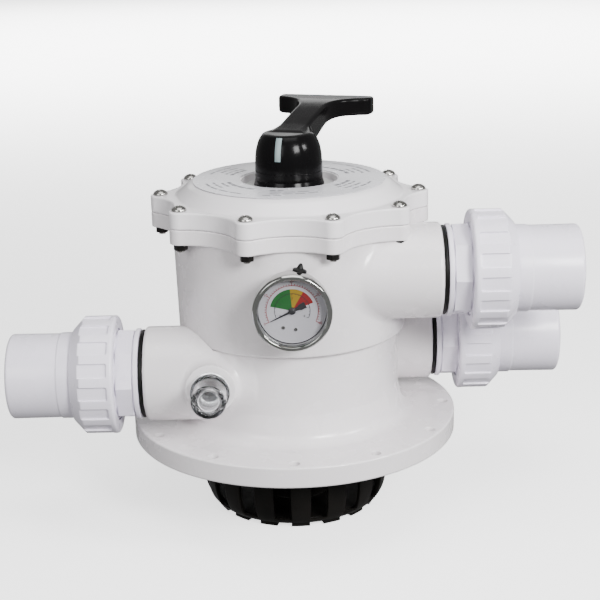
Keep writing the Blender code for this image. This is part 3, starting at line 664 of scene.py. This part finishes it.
def lid_field(x, y, z):
    r = np.hypot(x, y)
    rim = both(lobed_distance(x, y), between(z, LID_LOW, LID_RIM), 1.4)
    slope = (r - 97.8) * 0.665 + (z - 278.2) * 0.747
    crown = both(slope, z - PLATEAU, 3.0)
    crown = both(crown, LID_RIM - 3.0 - z)
    body = either(rim, crown, 1.0)
    body = either(body, disc(r, z, 90.5, 258.0, 270.0, 0.6))
    body = cut(body, both(r - 41.0, RECESS - z, 0.8), 0.8)
    shoulder = (r - 84.5) * 0.822 + (z - 278.0) * 0.569
    shelf = np.where(r < 40.0, z - 278.0, (z - 278.0) * 0.61 - (r - 40.0) * 0.793)
    room = both(both(shoulder, z - 284.5, 2.0), shelf)
    room = both(room, both(r - 84.5, 18.0 - r))
    body = cut(body, room, 0.4)
    body = either(body, both(r - 18.0, between(z, 262.0, 280.0), 0.5))
    body = cut(body, r - 11.6, 0.3)
    body = cut(body, both(r - 13.8, between(z, 268.0, 271.0)))
    return cut(body, screw_distance(x, y) - 3.6)


def make_lid(looks):
    axes = (turns_near(LOBES, 288.0, 5.4, 0.6, 1.3),
            steps((9.0, 1.2), (20.0, 2.6), (36.0, 1.4), (50.0, 4.0), (74.0, 1.2), 121.0),
            steps((256.0, 1.5), (262.0, 0.9), 293.0))
    lid = moulded("lid_moulding", lid_field, axes, looks["lid"], turned=True)
    stand_for(lid, "housing", "white_abs", "lid")


def make_label(looks):
    """A printed film on the lid: a white tick and lines of print for each position."""
    low = PLATEAU + 0.3
    film = turned("lid_label_film", [(42.5, low), (82.0, low), (82.0, low + 0.3, 0.1),
                                     (42.5, low + 0.3, 0.1)], looks["label"], sides=180)
    stand_for(film, "housing", "label", "lid_label")
    top = low + 0.3
    lines = bmesh.new()
    ticks = bmesh.new()
    for sector in range(SECTORS):
        middle = math.tau * sector / SECTORS
        add_arc_bar(ticks, 43.5, 47.5, middle - 0.010, middle + 0.010, top, top + 0.06)
        for row in range(4):
            inner = 51.0 + 6.6 * row
            words = 2 + (sector + row) % 3
            start = middle - 0.30 + 0.03 * ((2 * sector + row) % 3)
            for word in range(words):
                length = 0.09 + 0.035 * ((sector + 2 * row + 3 * word) % 3)
                add_arc_bar(lines, inner, inner + (3.2 if row == 0 else 2.0), start,
                            start + length, top, top + 0.06)
                start += length + 0.035
    for name, bm, key in (("lid_label_print", lines, "ink"), ("lid_label_ticks", ticks, "mark")):
        stand_for(from_bmesh(name, bm, looks[key]), "housing", "label")


def add_arc_bar(bm, inner, outer, start, end, low, high, place=Matrix()):
    """A bar bent round the axis, from azimuth start to end."""
    count = max(2, int((end - start) * outer / 1.5) + 1)
    rings = []
    for i in range(count + 1):
        angle = start + (end - start) * i / count
        rings.append([bm.verts.new(place @ spot_at(radius, angle, height)) for radius, height in (
            (inner, low), (outer, low), (outer, high), (inner, high))])
    for a, b in zip(rings, rings[1:]):
        for i in range(4):
            bm.faces.new((a[i], a[(i + 1) % 4], b[(i + 1) % 4], b[i]))
    bm.faces.new(rings[0])
    bm.faces.new(rings[-1])


# ------------------------------------------------------------- screws and nuts
def screw_field(x, y, z):
    """A pan-head screw, its head's underside at z 0 and the shank below."""
    r = np.hypot(x, y)
    dome = np.sqrt(x ** 2 + y ** 2 + (z + 3.4) ** 2) - 7.7
    head = both(both(r - 6.2, dome, 0.6), -z, 0.3)
    shank = both(r - 3.0, between(z, -34.4, 1.0), 0.5)
    screw = either(head, shank)
    depth = 2.0 - z
    for a, b in ((x, y), (y, x)):
        bar = both(np.abs(a) - 0.55 - 0.12 * (z - 2.0), np.abs(b) - 2.4 - 0.45 * (z - 2.0))
        screw = cut(screw, both(bar, depth), 0.12)
    return screw


def nut_field(x, y, z):
    """A hexagon nut with its corners turned off, its middle at z 0."""
    angle = fold(np.arctan2(y, x) - math.pi / 6, math.pi / 3)
    r = np.hypot(x, y)
    hexagon = r * np.cos(angle) - 4.97
    nut = both(hexagon, np.abs(z) - 2.5, 0.15)
    nut = both(nut, (r - 5.55) * 0.5 + (np.abs(z) - 2.4) * 0.866, 0.1)
    return cut(nut, r - 3.25 + 0.5 * np.clip(2.0 - np.abs(z), 0.0, 0.4), 0.0)


def make_screws(looks):
    fine = steps((-7.0, 0.35), 7.0)
    shape = contour(screw_field, (fine, fine, steps((-35.5, 0.5), (-33.5, 3.0), (-1.0, 0.35), 5.2)))
    nut_shape = contour(nut_field, (fine, fine, steps((-3.2, 0.32), 3.2)))
    for i in range(LOBES):
        turn = math.tau * (i + 0.5) / LOBES
        place = Matrix.Translation(spot_at(SCREW_R, turn, LID_RIM + 0.3))
        spin = Matrix.Rotation(0.7 * i, 4, "Z")
        screw = from_contour(f"lid_screw_{i + 1:02d}_cross", shape, looks["steel"], place @ spin)
        stand_for(screw, "housing", "stainless", f"lid_screw_{i + 1:02d}")
        place = Matrix.Translation(spot_at(SCREW_R, turn, RIM_LOW - 2.8))
        turn_nut = Matrix.Rotation(turn, 4, "Z")
        nut = from_contour(f"lid_nut_{i + 1:02d}_hexagon", nut_shape, looks["nut"],
                           place @ turn_nut)
        stand_for(nut, "housing", "nut_steel", f"lid_nut_{i + 1:02d}")


# -------------------------------------------------------------------- unions
def union_nut_field(x, y, z):
    """A union nut with sixteen sunk panels, its open end towards the valve."""
    r = np.hypot(x, y)
    body = both(r - 50.0, between(z, NUT_START, NUT_END), 2.4)
    body = both(body, (r - 50.0) * 0.686 + (z - 175.0) * 0.728, 0.5)
    angle = fold(np.arctan2(y, x), math.tau / 16)
    panel = both(np.abs(r * np.sin(angle)) - 5.8, NUT_START + 4.6 - z, 1.6)
    body = cut(body, both(panel, 48.2 - r, 0.3), 0.4)
    bore = both(r - 39.1, z - 171.7)
    return cut(cut(body, bore, 0.5), r - 37.3, 0.5)


def adapter_field(x, y, z):
    """The screwed half of a union: thread stub, round collar, octagon grip, seat."""
    r = np.hypot(x, y)
    angle = fold(np.arctan2(y, x) - math.pi / 8, math.pi / 4)
    grip = both(r * np.cos(angle) - 36.0, between(z, 133.5, 147.0), 0.5)
    body = either(grip, disc(r, z, 35.2, 130.0, 140.0))
    body = either(body, disc(r, z, 38.5, 128.5, 132.6, 1.2))
    body = either(body, disc(r, z, 32.5, 108.5, 130.0, 0.5))
    body = either(body, disc(r, z, 37.9, 148.5, 160.0, 0.6))
    body = either(body, disc(r, z, 36.0, 140.0, 158.0))
    return cut(body, r - PASSAGE_R, 0.6)


def make_union(name, body, side, y, z, looks):
    place = along_x(side, y, z)
    ring = seal(f"{name}_port_oring_round", 33.2, 37.6, 124.8, 128.2, looks["rubber"], place)
    stand_for(ring, "housing", "rubber", f"{name}_port_oring")
    angles = np.radians(np.arange(0.0, 360.0, 1.25))
    adapter = moulded(f"{name}_union_adapter_grip", adapter_field,
                      (angles, steps((25.5, 1.0), 41.0),
                       steps((106.5, 1.0), (112.0, 3.0), (126.0, 0.6), (150.0, 2.0), (158.0, 0.8),
                             162.0)), looks["pvc"], place, turned=True)
    stand_for(adapter, "housing", "white_pvc", f"{name}_union_adapter")
    angles = turns_near(16, 0.0, 8.6, 0.86, 2.0)
    nut = moulded(f"{name}_union_nut_ribbed", union_nut_field,
                  (angles, steps((35.5, 0.8), 52.0), steps((146.0, 0.7), (156.0, 2.0), (168.0, 0.8),
                                                           187.0)),
                  looks["pvc"], place, turned=True)
    stand_for(nut, body, "white_pvc", f"{name}_union_nut")
    tail = [(PASSAGE_R, 162.7, 0.5), (38.4, 162.7, 0.6), (38.4, 170.5, 0.6), (36.5, 170.5),
            (36.5, 195.5, 0.6), (35.7, 197.0, 0.6), (36.0, HALF_LENGTH, 3.0),
            (31.6, HALF_LENGTH, 1.0), (31.4, 201.0), (PASSAGE_R, 201.0, 0.5)]
    piece = turned(f"{name}_union_tailpiece_turned", tail, looks["pvc"], place, 144)
    stand_for(piece, "housing", "white_pvc", f"{name}_union_tailpiece")
    face = [(28.5, 160.3, 0.4), (36.5, 160.3, 0.4), (36.5, 162.4, 0.4), (28.5, 162.4, 0.4)]
    piece = turned(f"{name}_face_seal_flat", face, looks["rubber"], place)
    stand_for(piece, "housing", "rubber", f"{name}_face_seal")


# ----------------------------------------------------- sight glass and gauge
def make_sight_glass(looks):
    place = towards_front(SIGHT_X, LOWER_AXIS_Z)
    cap = [(0.0, 116.5), (9.0, 116.5, 1.5), (9.0, 76.0, 0.3), (11.3, 76.0, 0.3), (11.3, 92.6),
           (16.2, 92.6, 0.4), (16.2, 99.0, 0.8), (14.2, 101.0, 0.8), (14.2, 106.0), (14.2, 119.0),
           (13.2, 120.0, 0.8), (10.4, 120.0, 0.8), (9.8, 118.6, 0.4), (0.0, 118.6)]
    glass = turned("sight_glass_cap", cap, looks["clear"], place, 72, closed=False)
    stand_for(glass, "housing", "clear_lens", "sight_glass")
    ring = seal("sight_glass_oring_round", 12.0, 15.5, 90.3, 92.3, looks["rubber"], place, 64)
    stand_for(ring, "housing", "rubber", "sight_glass_oring")


def make_gauge(looks):
    place = towards_front(GAUGE_X, GAUGE_Z)
    case = [(27.5, 105.0, 1.6), (29.2, 106.8, 1.4), (29.2, 124.5, 0.3), (27.2, 124.5, 0.3),
            (27.2, 107.0, 1.0)]
    piece = turned("gauge_case_pressed", case, looks["chrome"], place, 120, closed=False)
    stand_for(piece, "housing", "chrome", "gauge_case")
    bezel = [(29.6, 118.0, 0.3), (31.5, 118.0, 0.5), (31.5, 128.0, 1.8), (30.0, 130.0, 1.2),
             (27.8, 130.0, 0.8), (26.5, 127.5, 0.3), (29.6, 127.5)]
    piece = turned("gauge_bezel_rolled", bezel, looks["chrome"], place, 120)
    stand_for(piece, "housing", "chrome", "gauge_bezel")
    lens = [(29.0, 124.8, 0.3), (29.0, 127.2, 0.3), (20.0, 127.4), (10.0, 127.45)]
    piece = turned("gauge_lens_moulded", [(10.0, 124.8)] + lens, looks["lens"], place, 96,
                   closed=False)
    stand_for(piece, "housing", "clear_lens", "gauge_lens")
    dial = [(24.0, 119.0, 0.1), (26.8, 119.0, 0.1), (26.8, 119.8, 0.2), (24.0, 119.8)]
    piece = turned("gauge_dial_plate", dial, looks["enamel"], place, 96, closed=False)
    stand_for(piece, "housing", "dial", "gauge_dial")
    connector = [(5.0, 90.0), (6.3, 90.0, 0.4)]
    for i in range(7):
        connector += [(6.3, 91.0 + 1.25 * i), (5.6, 91.6 + 1.25 * i)]
    connector += [(6.3, 100.3), (9.5, 100.3, 0.3), (9.5, 104.7, 0.3), (6.0, 104.7)]
    piece = turned("gauge_connector_threaded", connector, looks["brass"], place, 48, closed=False)
    stand_for(piece, "housing", "brass", "gauge_connector")
    plug_place = (Matrix.Translation((GAUGE_X * MM, -0.112, GAUGE_Z * MM))
                  @ Matrix.Rotation(math.radians(12), 4, "Y"))
    plug = [(5.6, 29.6, 0.2), (5.6, 31.8, 0.7), (2.8, 32.8, 1.2), (1.6, 36.0, 0.5), (0.6, 37.0)]
    piece = turned("gauge_fill_plug_nipple", plug, looks["rubber"], plug_place, 40, closed=False)
    stand_for(piece, "housing", "rubber", "gauge_fill_plug")
    make_dial_print(looks, place)
    make_pointer(looks)


def dial_spot(radius, degrees, height):
    """A point on the dial; degrees grow anticlockwise from the dial's right side."""
    angle = math.radians(degrees)
    return Vector((radius * math.cos(angle), radius * math.sin(angle), height)) * MM


def add_dial_bar(bm, place, inner, outer, start, end, low, high):
    """An arc, a tick or a coloured zone on the dial, between two bearings in degrees."""
    count = max(1, int(abs(end - start) / 3.0))
    rings = []
    for i in range(count + 1):
        bearing = start + (end - start) * i / count
        rings.append([bm.verts.new(place @ dial_spot(radius, bearing, height))
                      for radius, height in ((inner, low), (outer, low), (outer, high),
                                             (inner, high))])
    for a, b in zip(rings, rings[1:]):
        for i in range(4):
            bm.faces.new((a[i], a[(i + 1) % 4], b[(i + 1) % 4], b[i]))
    bm.faces.new(rings[0])
    bm.faces.new(rings[-1])


def add_number(bm, place, text, radius, bearing, height, size):
    """A raised number, its middle at a bearing on the dial."""
    curve = bpy.data.curves.new("number", "FONT")
    curve.body = text
    curve.size = size * MM
    curve.extrude = 0.03 * MM
    curve.align_x = "CENTER"
    curve.align_y = "CENTER"
    holder = bpy.data.objects.new("number", curve)
    bpy.context.scene.collection.objects.link(holder)
    mesh = bpy.data.meshes.new_from_object(holder)
    spot = dial_spot(radius, bearing, height)
    mesh.transform(place @ Matrix.Translation(spot))
    bm.from_mesh(mesh)
    bpy.data.meshes.remove(mesh)
    bpy.data.objects.remove(holder)
    bpy.data.curves.remove(curve)


def make_dial_print(looks, place):
    low, high = 119.8, 119.9
    zones = (("green", 168.0, 95.0), ("yellow", 95.0, 60.0), ("red", 60.0, 21.0))
    for key, start, end in zones:
        bm = bmesh.new()
        add_dial_bar(bm, place, 2.2, 17.6, start, end, low, high)
        stand_for(from_bmesh(f"gauge_dial_zone_{key}", bm, looks[key]), "housing", "dial")
    outer = bmesh.new()
    inner = bmesh.new()
    start, sweep = 206.0, -232.0
    add_dial_bar(outer, place, 20.2, 20.65, start, start + sweep, low, high)
    add_dial_bar(inner, place, 13.8, 14.2, start, start + sweep, high, high + 0.04)
    for i in range(41):
        bearing = start + sweep * i / 40
        long = i % 10 == 0
        add_dial_bar(outer, place, 20.6, 23.0 if long else 21.8, bearing - 0.7, bearing + 0.7, low,
                     high)
        if i % 2 == 0:
            add_dial_bar(inner, place, 12.4 if long else 13.1, 13.9, bearing - 0.9, bearing + 0.9,
                         high, high + 0.04)
    for i in range(5):
        bearing = start + sweep * i / 4
        add_number(outer, place, str(10 * i), 24.2, bearing, high, 3.1)
        add_number(inner, place, str(i), 10.4, bearing, high + 0.05, 3.2)
    stand_for(from_bmesh("gauge_dial_scale_outer", outer, looks["red"]), "housing", "dial")
    stand_for(from_bmesh("gauge_dial_scale_inner", inner, looks["print"]), "housing", "pointer")
    for i, (across, up) in enumerate(((-7.3, -13.8), (2.5, -15.4))):
        spot = place @ Matrix.Translation((across * MM, up * MM, 0.0))
        head = [(1.5, low, 0.05), (1.5, low + 0.45, 0.2), (0.5, low + 0.5)]
        screw = turned(f"gauge_dial_screw_{i + 1}", head, looks["steel"], spot, 24, closed=False)
        stand_for(screw, "housing", "stainless")


def make_pointer(looks):
    """A slim blade with a broad tail, and a turned hub."""
    turn = (towards_front(GAUGE_X, GAUGE_Z) @ Matrix.Rotation(math.radians(206), 4, "Z"))
    outline = ((19.5, 0.3), (0.0, 1.0), (-5.5, 1.4), (-7.0, 2.4), (-11.5, 2.6))
    ring = [(x, -y) for x, y in outline] + [(x, y) for x, y in reversed(outline)]
    bm = bmesh.new()
    levels = [[bm.verts.new(turn @ (Vector((x, y, z)) * MM)) for x, y in ring]
              for z in (120.85, 121.25)]
    for i in range(len(ring)):
        j = (i + 1) % len(ring)
        bm.faces.new((levels[0][i], levels[0][j], levels[1][j], levels[1][i]))
    bm.faces.new(levels[0])
    bm.faces.new(levels[1])
    bmesh.ops.bevel(bm, geom=bm.edges[:], offset=0.08 * MM, segments=1, affect="EDGES")
    blade = from_bmesh("gauge_pointer_blade", bm, looks["print"])
    stand_for(blade, "gauge_needle", "pointer", "gauge_pointer")
    hub = turned("gauge_pointer_hub", [(2.8, 120.1, 0.2), (2.8, 121.6, 0.4), (1.2, 122.1, 0.2),
                                       (1.0, 122.2)], looks["print"], turn, 40, closed=False)
    stand_for(hub, "gauge_needle", "pointer")


# ------------------------------------------------------- rotor, stem, spring
def gasket_field(x, y, z):
    r = np.hypot(x, y)
    ring = both(both(r - 88.0, 27.0 - r), between(z, 166.3, 168.5), 0.4)
    window = both(both(r - 80.0, 34.0 - r), chamber_side(x, y, 2.5), 2.0)
    return cut(ring, window, 0.4)


def rotor_field(x, y, z):
    r = np.hypot(x, y)
    slope = (r - 84.0) * 0.8 + (z - 182.0) * 0.6
    top = z - 186.0 + 4.0 * np.clip((r - 31.0) / 53.0, 0.0, 1.0)
    plate = both(both(r - 88.5, slope, 2.0), both(top, 168.8 - z), 0.6)
    body = either(plate, disc(r, z, 20.0, 180.0, 192.0, 0.8), 2.0)
    body = cut(body, both(r - 11.6, 178.0 - z), 0.3)
    front = np.abs(azimuth(x, y))
    gap = 3.0 - r * np.sin(math.pi / SECTORS - front)
    window = both(both(both(r - 80.0, 34.0 - r), gap, 2.0), front - math.pi / SECTORS)
    body = cut(body, window, 0.5)
    turn = fold(azimuth(x, y) - math.tau / 3, math.tau)
    gap = 3.0 - r * np.sin(np.clip(math.pi / SECTORS - np.abs(turn), -1.5, 1.5))
    pocket = both(both(r - 80.0, gap), z - 174.8, 1.0)
    return cut(body, either(pocket, both(r - 24.0, z - 174.5)), 0.4)


def make_inside(looks):
    sector_turns = np.radians(np.arange(0.3, 360.0, 1.2))
    gasket = moulded("star_gasket_cut", gasket_field,
                     (sector_turns, steps((25.0, 1.2), (38.0, 3.0), (76.0, 1.2), 90.0),
                      steps((165.4, 0.5), 169.5)), looks["rubber"], turned=True)
    stand_for(gasket, "housing", "rubber", "star_gasket")
    rotor = moulded("rotor_moulding", rotor_field,
                    (sector_turns, steps((9.0, 1.2), (38.0, 3.0), (76.0, 1.2), 91.0),
                     steps((167.0, 1.0), 194.0)), looks["rotor"], turned=True)
    stand_for(rotor, "rotor", "grey_plastic", "rotor")
    make_stem(looks)
    make_spring(looks)


def stem_field(x, y, z):
    r = np.hypot(x, y)
    stem = both(r - 11.0, between(z, 178.3, 318.0), 1.0)
    stem = cut(stem, np.hypot(y, z - PIN_Z) - 3.3, 0.3)
    return cut(stem, np.hypot(r - 11.9, z - 286.6) - 1.4)


def make_stem(looks):
    side = steps((-12.0, 0.8), 12.0)
    stem = moulded("stem_turned", stem_field,
                   (side, side, steps((177.2, 0.8), (181.0, 4.0), (282.0, 0.7), 319.4)),
                   looks["steel"], Matrix.Rotation(ARM_TURN, 4, "Z"))
    stand_for(stem, "rotor", "stainless", "stem")
    ring = seal("stem_oring_round", 11.5, 13.4, 268.4, 270.6, looks["rubber"])
    stand_for(ring, "housing", "rubber", "stem_oring")
    ring = seal("lid_oring_round", 95.1, 97.7, 262.4, 264.5, looks["rubber"], sides=180)
    stand_for(ring, "housing", "rubber", "lid_oring")
    for name, body, inner, outer, low, high in (
            ("spring_washer", "selector", 18.8, 30.0, 275.7, 277.7),
            ("handle_washer", "selector", 11.8, 38.0, 284.3, 285.7)):
        outline = [(inner, low, 0.3), (outer, low, 0.3), (outer, high, 0.5), (inner, high, 0.3)]
        washer = turned(f"{name}_turned", outline, looks["acetal"])
        stand_for(washer, body, "grey_plastic", name)


def make_spring(looks):
    """Round wire wound in open coils of even pitch from end to end."""
    coil_r, wire_r, turns, sides, per_turn = 25.0, 2.1, 5, 14, 48
    low, high = 186.3 + wire_r, 275.2 - wire_r
    bm = bmesh.new()
    rings = []
    for i in range(turns * per_turn + 1):
        share = i / (turns * per_turn)
        angle = math.tau * turns * share
        middle = Vector((coil_r * math.cos(angle), coil_r * math.sin(angle),
                         low + (high - low) * share))
        out = Vector((math.cos(angle), math.sin(angle), 0.0))
        rings.append([bm.verts.new((middle + wire_r * (
            out * math.cos(math.tau * k / sides)
            + Vector((0, 0, 1)) * math.sin(math.tau * k / sides))) * MM) for k in range(sides)])
    for a, b in zip(rings, rings[1:]):
        for k in range(sides):
            bm.faces.new((a[k], a[(k + 1) % sides], b[(k + 1) % sides], b[k]))
    bm.faces.new(rings[0])
    bm.faces.new(rings[-1])
    coil = from_bmesh("spring_coil", bm, looks["steel"], 60)
    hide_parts("spring")
    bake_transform(coil)


# -------------------------------------------------------------------- handle
def hub_distance(r, z):
    """The bell: a squarish dome on a short straight skirt that flares at its foot."""
    rise = np.maximum(z - BELL_START, 0.0) / BELL_HEIGHT
    dome = ((r / BELL_R) ** 3 + rise ** 3) ** (1.0 / 3.0)
    flare = (r - BELL_R - 0.29 * (-16.5 - z)) * 0.96
    return np.where(z < -16.5, flare, (dome - 1.0) * 27.0)


def smooth_step(share):
    share = np.clip(share, 0.0, 1.0)
    return share * share * (3.0 - 2.0 * share)


def handle_field(x, y, z):
    """The cam lever about its pin, its arm along +Y."""
    r = np.hypot(x, y)
    bell = both(hub_distance(r, z), z - BELL_TOP, 2.0)
    bell = both(bell, -22.0 - z, 0.8)
    low = 7.0 + 15.0 * smooth_step((y - 18.0) / 74.0)
    top = BELL_TOP - 1.0 + 16.0 * smooth_step((y + 26.0) / 118.0)
    stem = both(np.abs(x) - 13.0, between(y, -2.0, 110.0))
    grip = both(np.abs(x) - 43.5, between(y, 101.0, 118.0), 5.5)
    plan = both(either(stem, grip, 38.0), y - 118.0, 4.0)
    middle = (low + top) / 2
    arm = both(plan, np.abs(z - middle) - (top - low) / 2, 3.2)
    body = either(bell, arm, 5.0)
    body = both(body, z - top, 1.5)
    body = cut(body, both(np.abs(r - BELL_R) - 0.4, np.abs(z + 9.0) - 0.4))
    wide = 12.5 - 11.0 * np.clip(z / 30.0, -1.0, 0.0)
    back = 12.5 + 4.5 * np.clip(z / 15.5, 0.0, 1.0)
    slot = both(np.abs(x) - 11.6, both(y - wide, -back - y, 0.8), 0.8)
    body = cut(body, both(slot, z - 15.5, 0.8), 0.6)
    relief = math.radians(22)
    heel = both(15.0 - y, (z + 22.0) * math.cos(relief) - (y - 15.0) * math.sin(relief), 1.0)
    body = cut(body, heel, 0.6)
    return cut(body, both(np.hypot(y, z) - 3.3, np.abs(x) - 26.0), 0.3)


def make_handle(looks):
    place = Matrix.Translation((0.0, 0.0, PIN_Z * MM)) @ Matrix.Rotation(ARM_TURN, 4, "Z")
    handle = moulded("handle_moulding", handle_field,
                     (steps((-47.0, 1.0), 47.0), steps((-33.0, 1.0), 120.5),
                      steps((-24.0, 0.9), 40.5)), looks["handle"], place)
    stand_for(handle, "handle", "black_handle", "handle")
    pin_place = place @ Matrix.Rotation(math.pi / 2, 4, "Y")
    pin = turned("handle_pin_turned", [(3.0, -25.5, 0.5), (3.0, 25.5, 0.5), (1.5, 25.5)],
                 looks["steel"], pin_place, 40, closed=False)
    stand_for(pin, "handle", "stainless", "handle_pin")
    make_indicator(looks, place)


def hub_radius(z):
    """Radius of the bell at a height above the pin."""
    return BELL_R * (1.0 - (max(z - BELL_START, 0.0) / BELL_HEIGHT) ** 3) ** (1.0 / 3.0)


def make_indicator(looks, place):
    """A stripe that follows the bell, opposite the arm."""
    bm = bmesh.new()
    rows = []
    count = 24
    low, high = 2.0, 20.5
    for i in range(count + 1):
        z = low + (high - low) * i / count
        slope = (hub_radius(z + 0.1) - hub_radius(z - 0.1)) / 0.2
        out = Vector((0.0, -1.0, -slope)).normalized()
        skin = Vector((0.0, -hub_radius(z), z))
        row = []
        for x, lift in ((-2.5, 0.3), (2.5, 0.3), (2.5, 0.5), (2.1, 0.7), (-2.1, 0.7), (-2.5, 0.5)):
            sag = Vector((x, 0.5 * x * x / hub_radius(z), 0.0))
            row.append(bm.verts.new(place @ ((skin + out * lift + sag) * MM)))
        rows.append(row)
    for a, b in zip(rows, rows[1:]):
        for k in range(6):
            bm.faces.new((a[k], a[(k + 1) % 6], b[(k + 1) % 6], b[k]))
    bm.faces.new(rows[0])
    bm.faces.new(rows[-1])
    stripe = from_bmesh("handle_indicator_stripe", bm, looks["stripe"])
    stand_for(stripe, "handle", "stripe", "handle_indicator")


# ------------------------------------------------------------------ diffuser
def diffuser_field(x, y, z):
    r = np.hypot(x, y)
    sag = np.clip((34.0 - z) / 31.0, 0.0, 1.0)
    outer = BASKET_R - 13.0 * (1.0 - np.sqrt(1.0 - sag ** 2 * 0.9999))
    thick = np.where(z > 49.0, 6.2, 3.5)
    wall = both(both(r - outer, outer - thick - r), between(z, 3.0, 67.7), 0.8)
    body = either(wall, disc(r, z, 70.0, 3.0, 7.0, 0.8), 1.0)
    body = either(body, disc(r, z, 30.5, 3.0, 22.0, 0.6), 1.5)
    pitch = math.tau / RIBS
    turn = np.arctan2(y, x)
    angle = fold(turn - pitch * FOOT_PHASE, pitch)
    out, across = r * np.cos(angle), r * np.sin(angle)
    foot = both(np.abs(across) - 8.0 + (71.5 - out) * 0.12, between(out, 58.0, 71.5), 0.6)
    body = either(body, both(foot, between(z, 0.0, 5.0), 0.6), 0.8)
    angle = fold(turn - pitch * (FOOT_PHASE + 0.5), pitch)
    out, across = r * np.cos(angle), r * np.sin(angle)
    window = both(np.abs(across) - 7.5, between(z, 8.5, 46.0), 1.5)
    body = cut(body, both(window, 71.0 - out), 0.7)
    return cut(body, r - 25.8, 0.5)


def make_diffuser(looks):
    angles = np.radians(np.arange(0.4, 360.0, 0.9))
    axes = (angles, steps((24.0, 1.0), (33.0, 4.0), (56.0, 1.1), 86.0),
            steps((-1.2, 0.8), (11.0, 1.6), (44.0, 1.1), 69.0))
    basket = moulded("diffuser_moulding", diffuser_field, axes, looks["basket"], turned=True)
    stand_for(basket, "housing", "black_basket", "diffuser")


# --------------------------------------------------------- floor, light, camera
def make_floor():
    look = Look("pale_floor", roughness=0.9, Emission_Strength=1.6, Specular_IOR_Level=0.1)
    look.set("Emission Color", (1.0, 1.0, 1.0, 1.0))
    look.colour((0.90, 0.90, 0.90), (0.93, 0.93, 0.93), 2.0)
    bm = bmesh.new()
    half = 30.0
    bm.faces.new([bm.verts.new((x, y, -0.0005)) for x, y in (
        (-half, -half), (half, -half), (half, half), (-half, half))])
    floor = from_bmesh("floor", bm, look.material)
    floor.visible_diffuse = False
    floor.visible_glossy = False


def add_softbox(name, place, target, size, power, spread=180.0):
    light = bpy.data.lights.new(name, "AREA")
    light.shape = "RECTANGLE"
    light.size, light.size_y = size
    light.energy = power
    light.spread = math.radians(spread)
    holder = bpy.data.objects.new(name, light)
    bpy.context.scene.collection.objects.link(holder)
    holder.location = place
    aim = (Vector(target) - Vector(place)).to_track_quat("-Z", "Y")
    holder.rotation_euler = aim.to_euler()


def make_light():
    world = bpy.data.worlds.new("studio")
    bpy.context.scene.world = world
    world.use_nodes = True
    back = world.node_tree.nodes["Background"]
    back.inputs["Color"].default_value = (1.0, 1.0, 1.0, 1.0)
    rays = world.node_tree.nodes.new("ShaderNodeLightPath")
    strength = world.node_tree.nodes.new("ShaderNodeMapRange")
    strength.inputs["To Min"].default_value = 0.32
    strength.inputs["To Max"].default_value = 2.6
    world.node_tree.links.new(rays.outputs["Is Camera Ray"], strength.inputs["Value"])
    world.node_tree.links.new(strength.outputs["Result"], back.inputs["Strength"])
    middle = (0.0, 0.0, 0.18)
    add_softbox("key_box", (0.8, -1.35, 0.95), middle, (0.5, 0.5), 40.0)
    add_softbox("side_box", (1.4, -0.7, 0.95), middle, (0.35, 0.35), 16.0)
    add_softbox("fill_box", (-0.9, -1.4, 0.9), middle, (0.8, 0.8), 12.0)
    add_softbox("top_box", (0.1, -0.4, 1.9), middle, (1.2, 1.2), 17.0)
    add_softbox("rim_box", (0.0, 2.4, 0.95), middle, (2.4, 0.5), 5.0)
    add_softbox("backdrop_box", (0.0, 4.2, 2.6), (0.0, 4.2, 0.0), (5.0, 4.0), 420.0, 80.0)


def make_camera():
    lens = bpy.data.cameras.new("camera")
    lens.lens = 80.09
    lens.sensor_width = 36.0
    holder = bpy.data.objects.new("camera", lens)
    bpy.context.scene.collection.objects.link(holder)
    elevation = math.radians(16.697)
    roll = math.radians(-1.256)
    right = Vector((1.0, 0.0, 0.0))
    ahead = Vector((0.0, math.cos(elevation), -math.sin(elevation)))
    up = Vector((0.0, math.sin(elevation), math.cos(elevation)))
    across = right * math.cos(roll) + up * math.sin(roll)
    above = up * math.cos(roll) - right * math.sin(roll)
    view = Matrix((across, above, -ahead)).transposed().to_4x4()
    view.translation = (0.00705, -1.1181, 0.5177)
    holder.matrix_world = view
    bpy.context.scene.camera = holder


# ---------------------------------------------------------------------- build
def build():
    looks = make_looks()
    make_lower_body(looks)
    make_upper_body(looks)
    make_lid(looks)
    make_label(looks)
    make_screws(looks)
    for name, (side, y, z) in PORTS.items():
        make_union(name, f"{name}_nut", side, y, z, looks)
    make_sight_glass(looks)
    make_gauge(looks)
    make_inside(looks)
    make_handle(looks)
    make_diffuser(looks)
    make_floor()
    make_light()
    make_camera()


build()
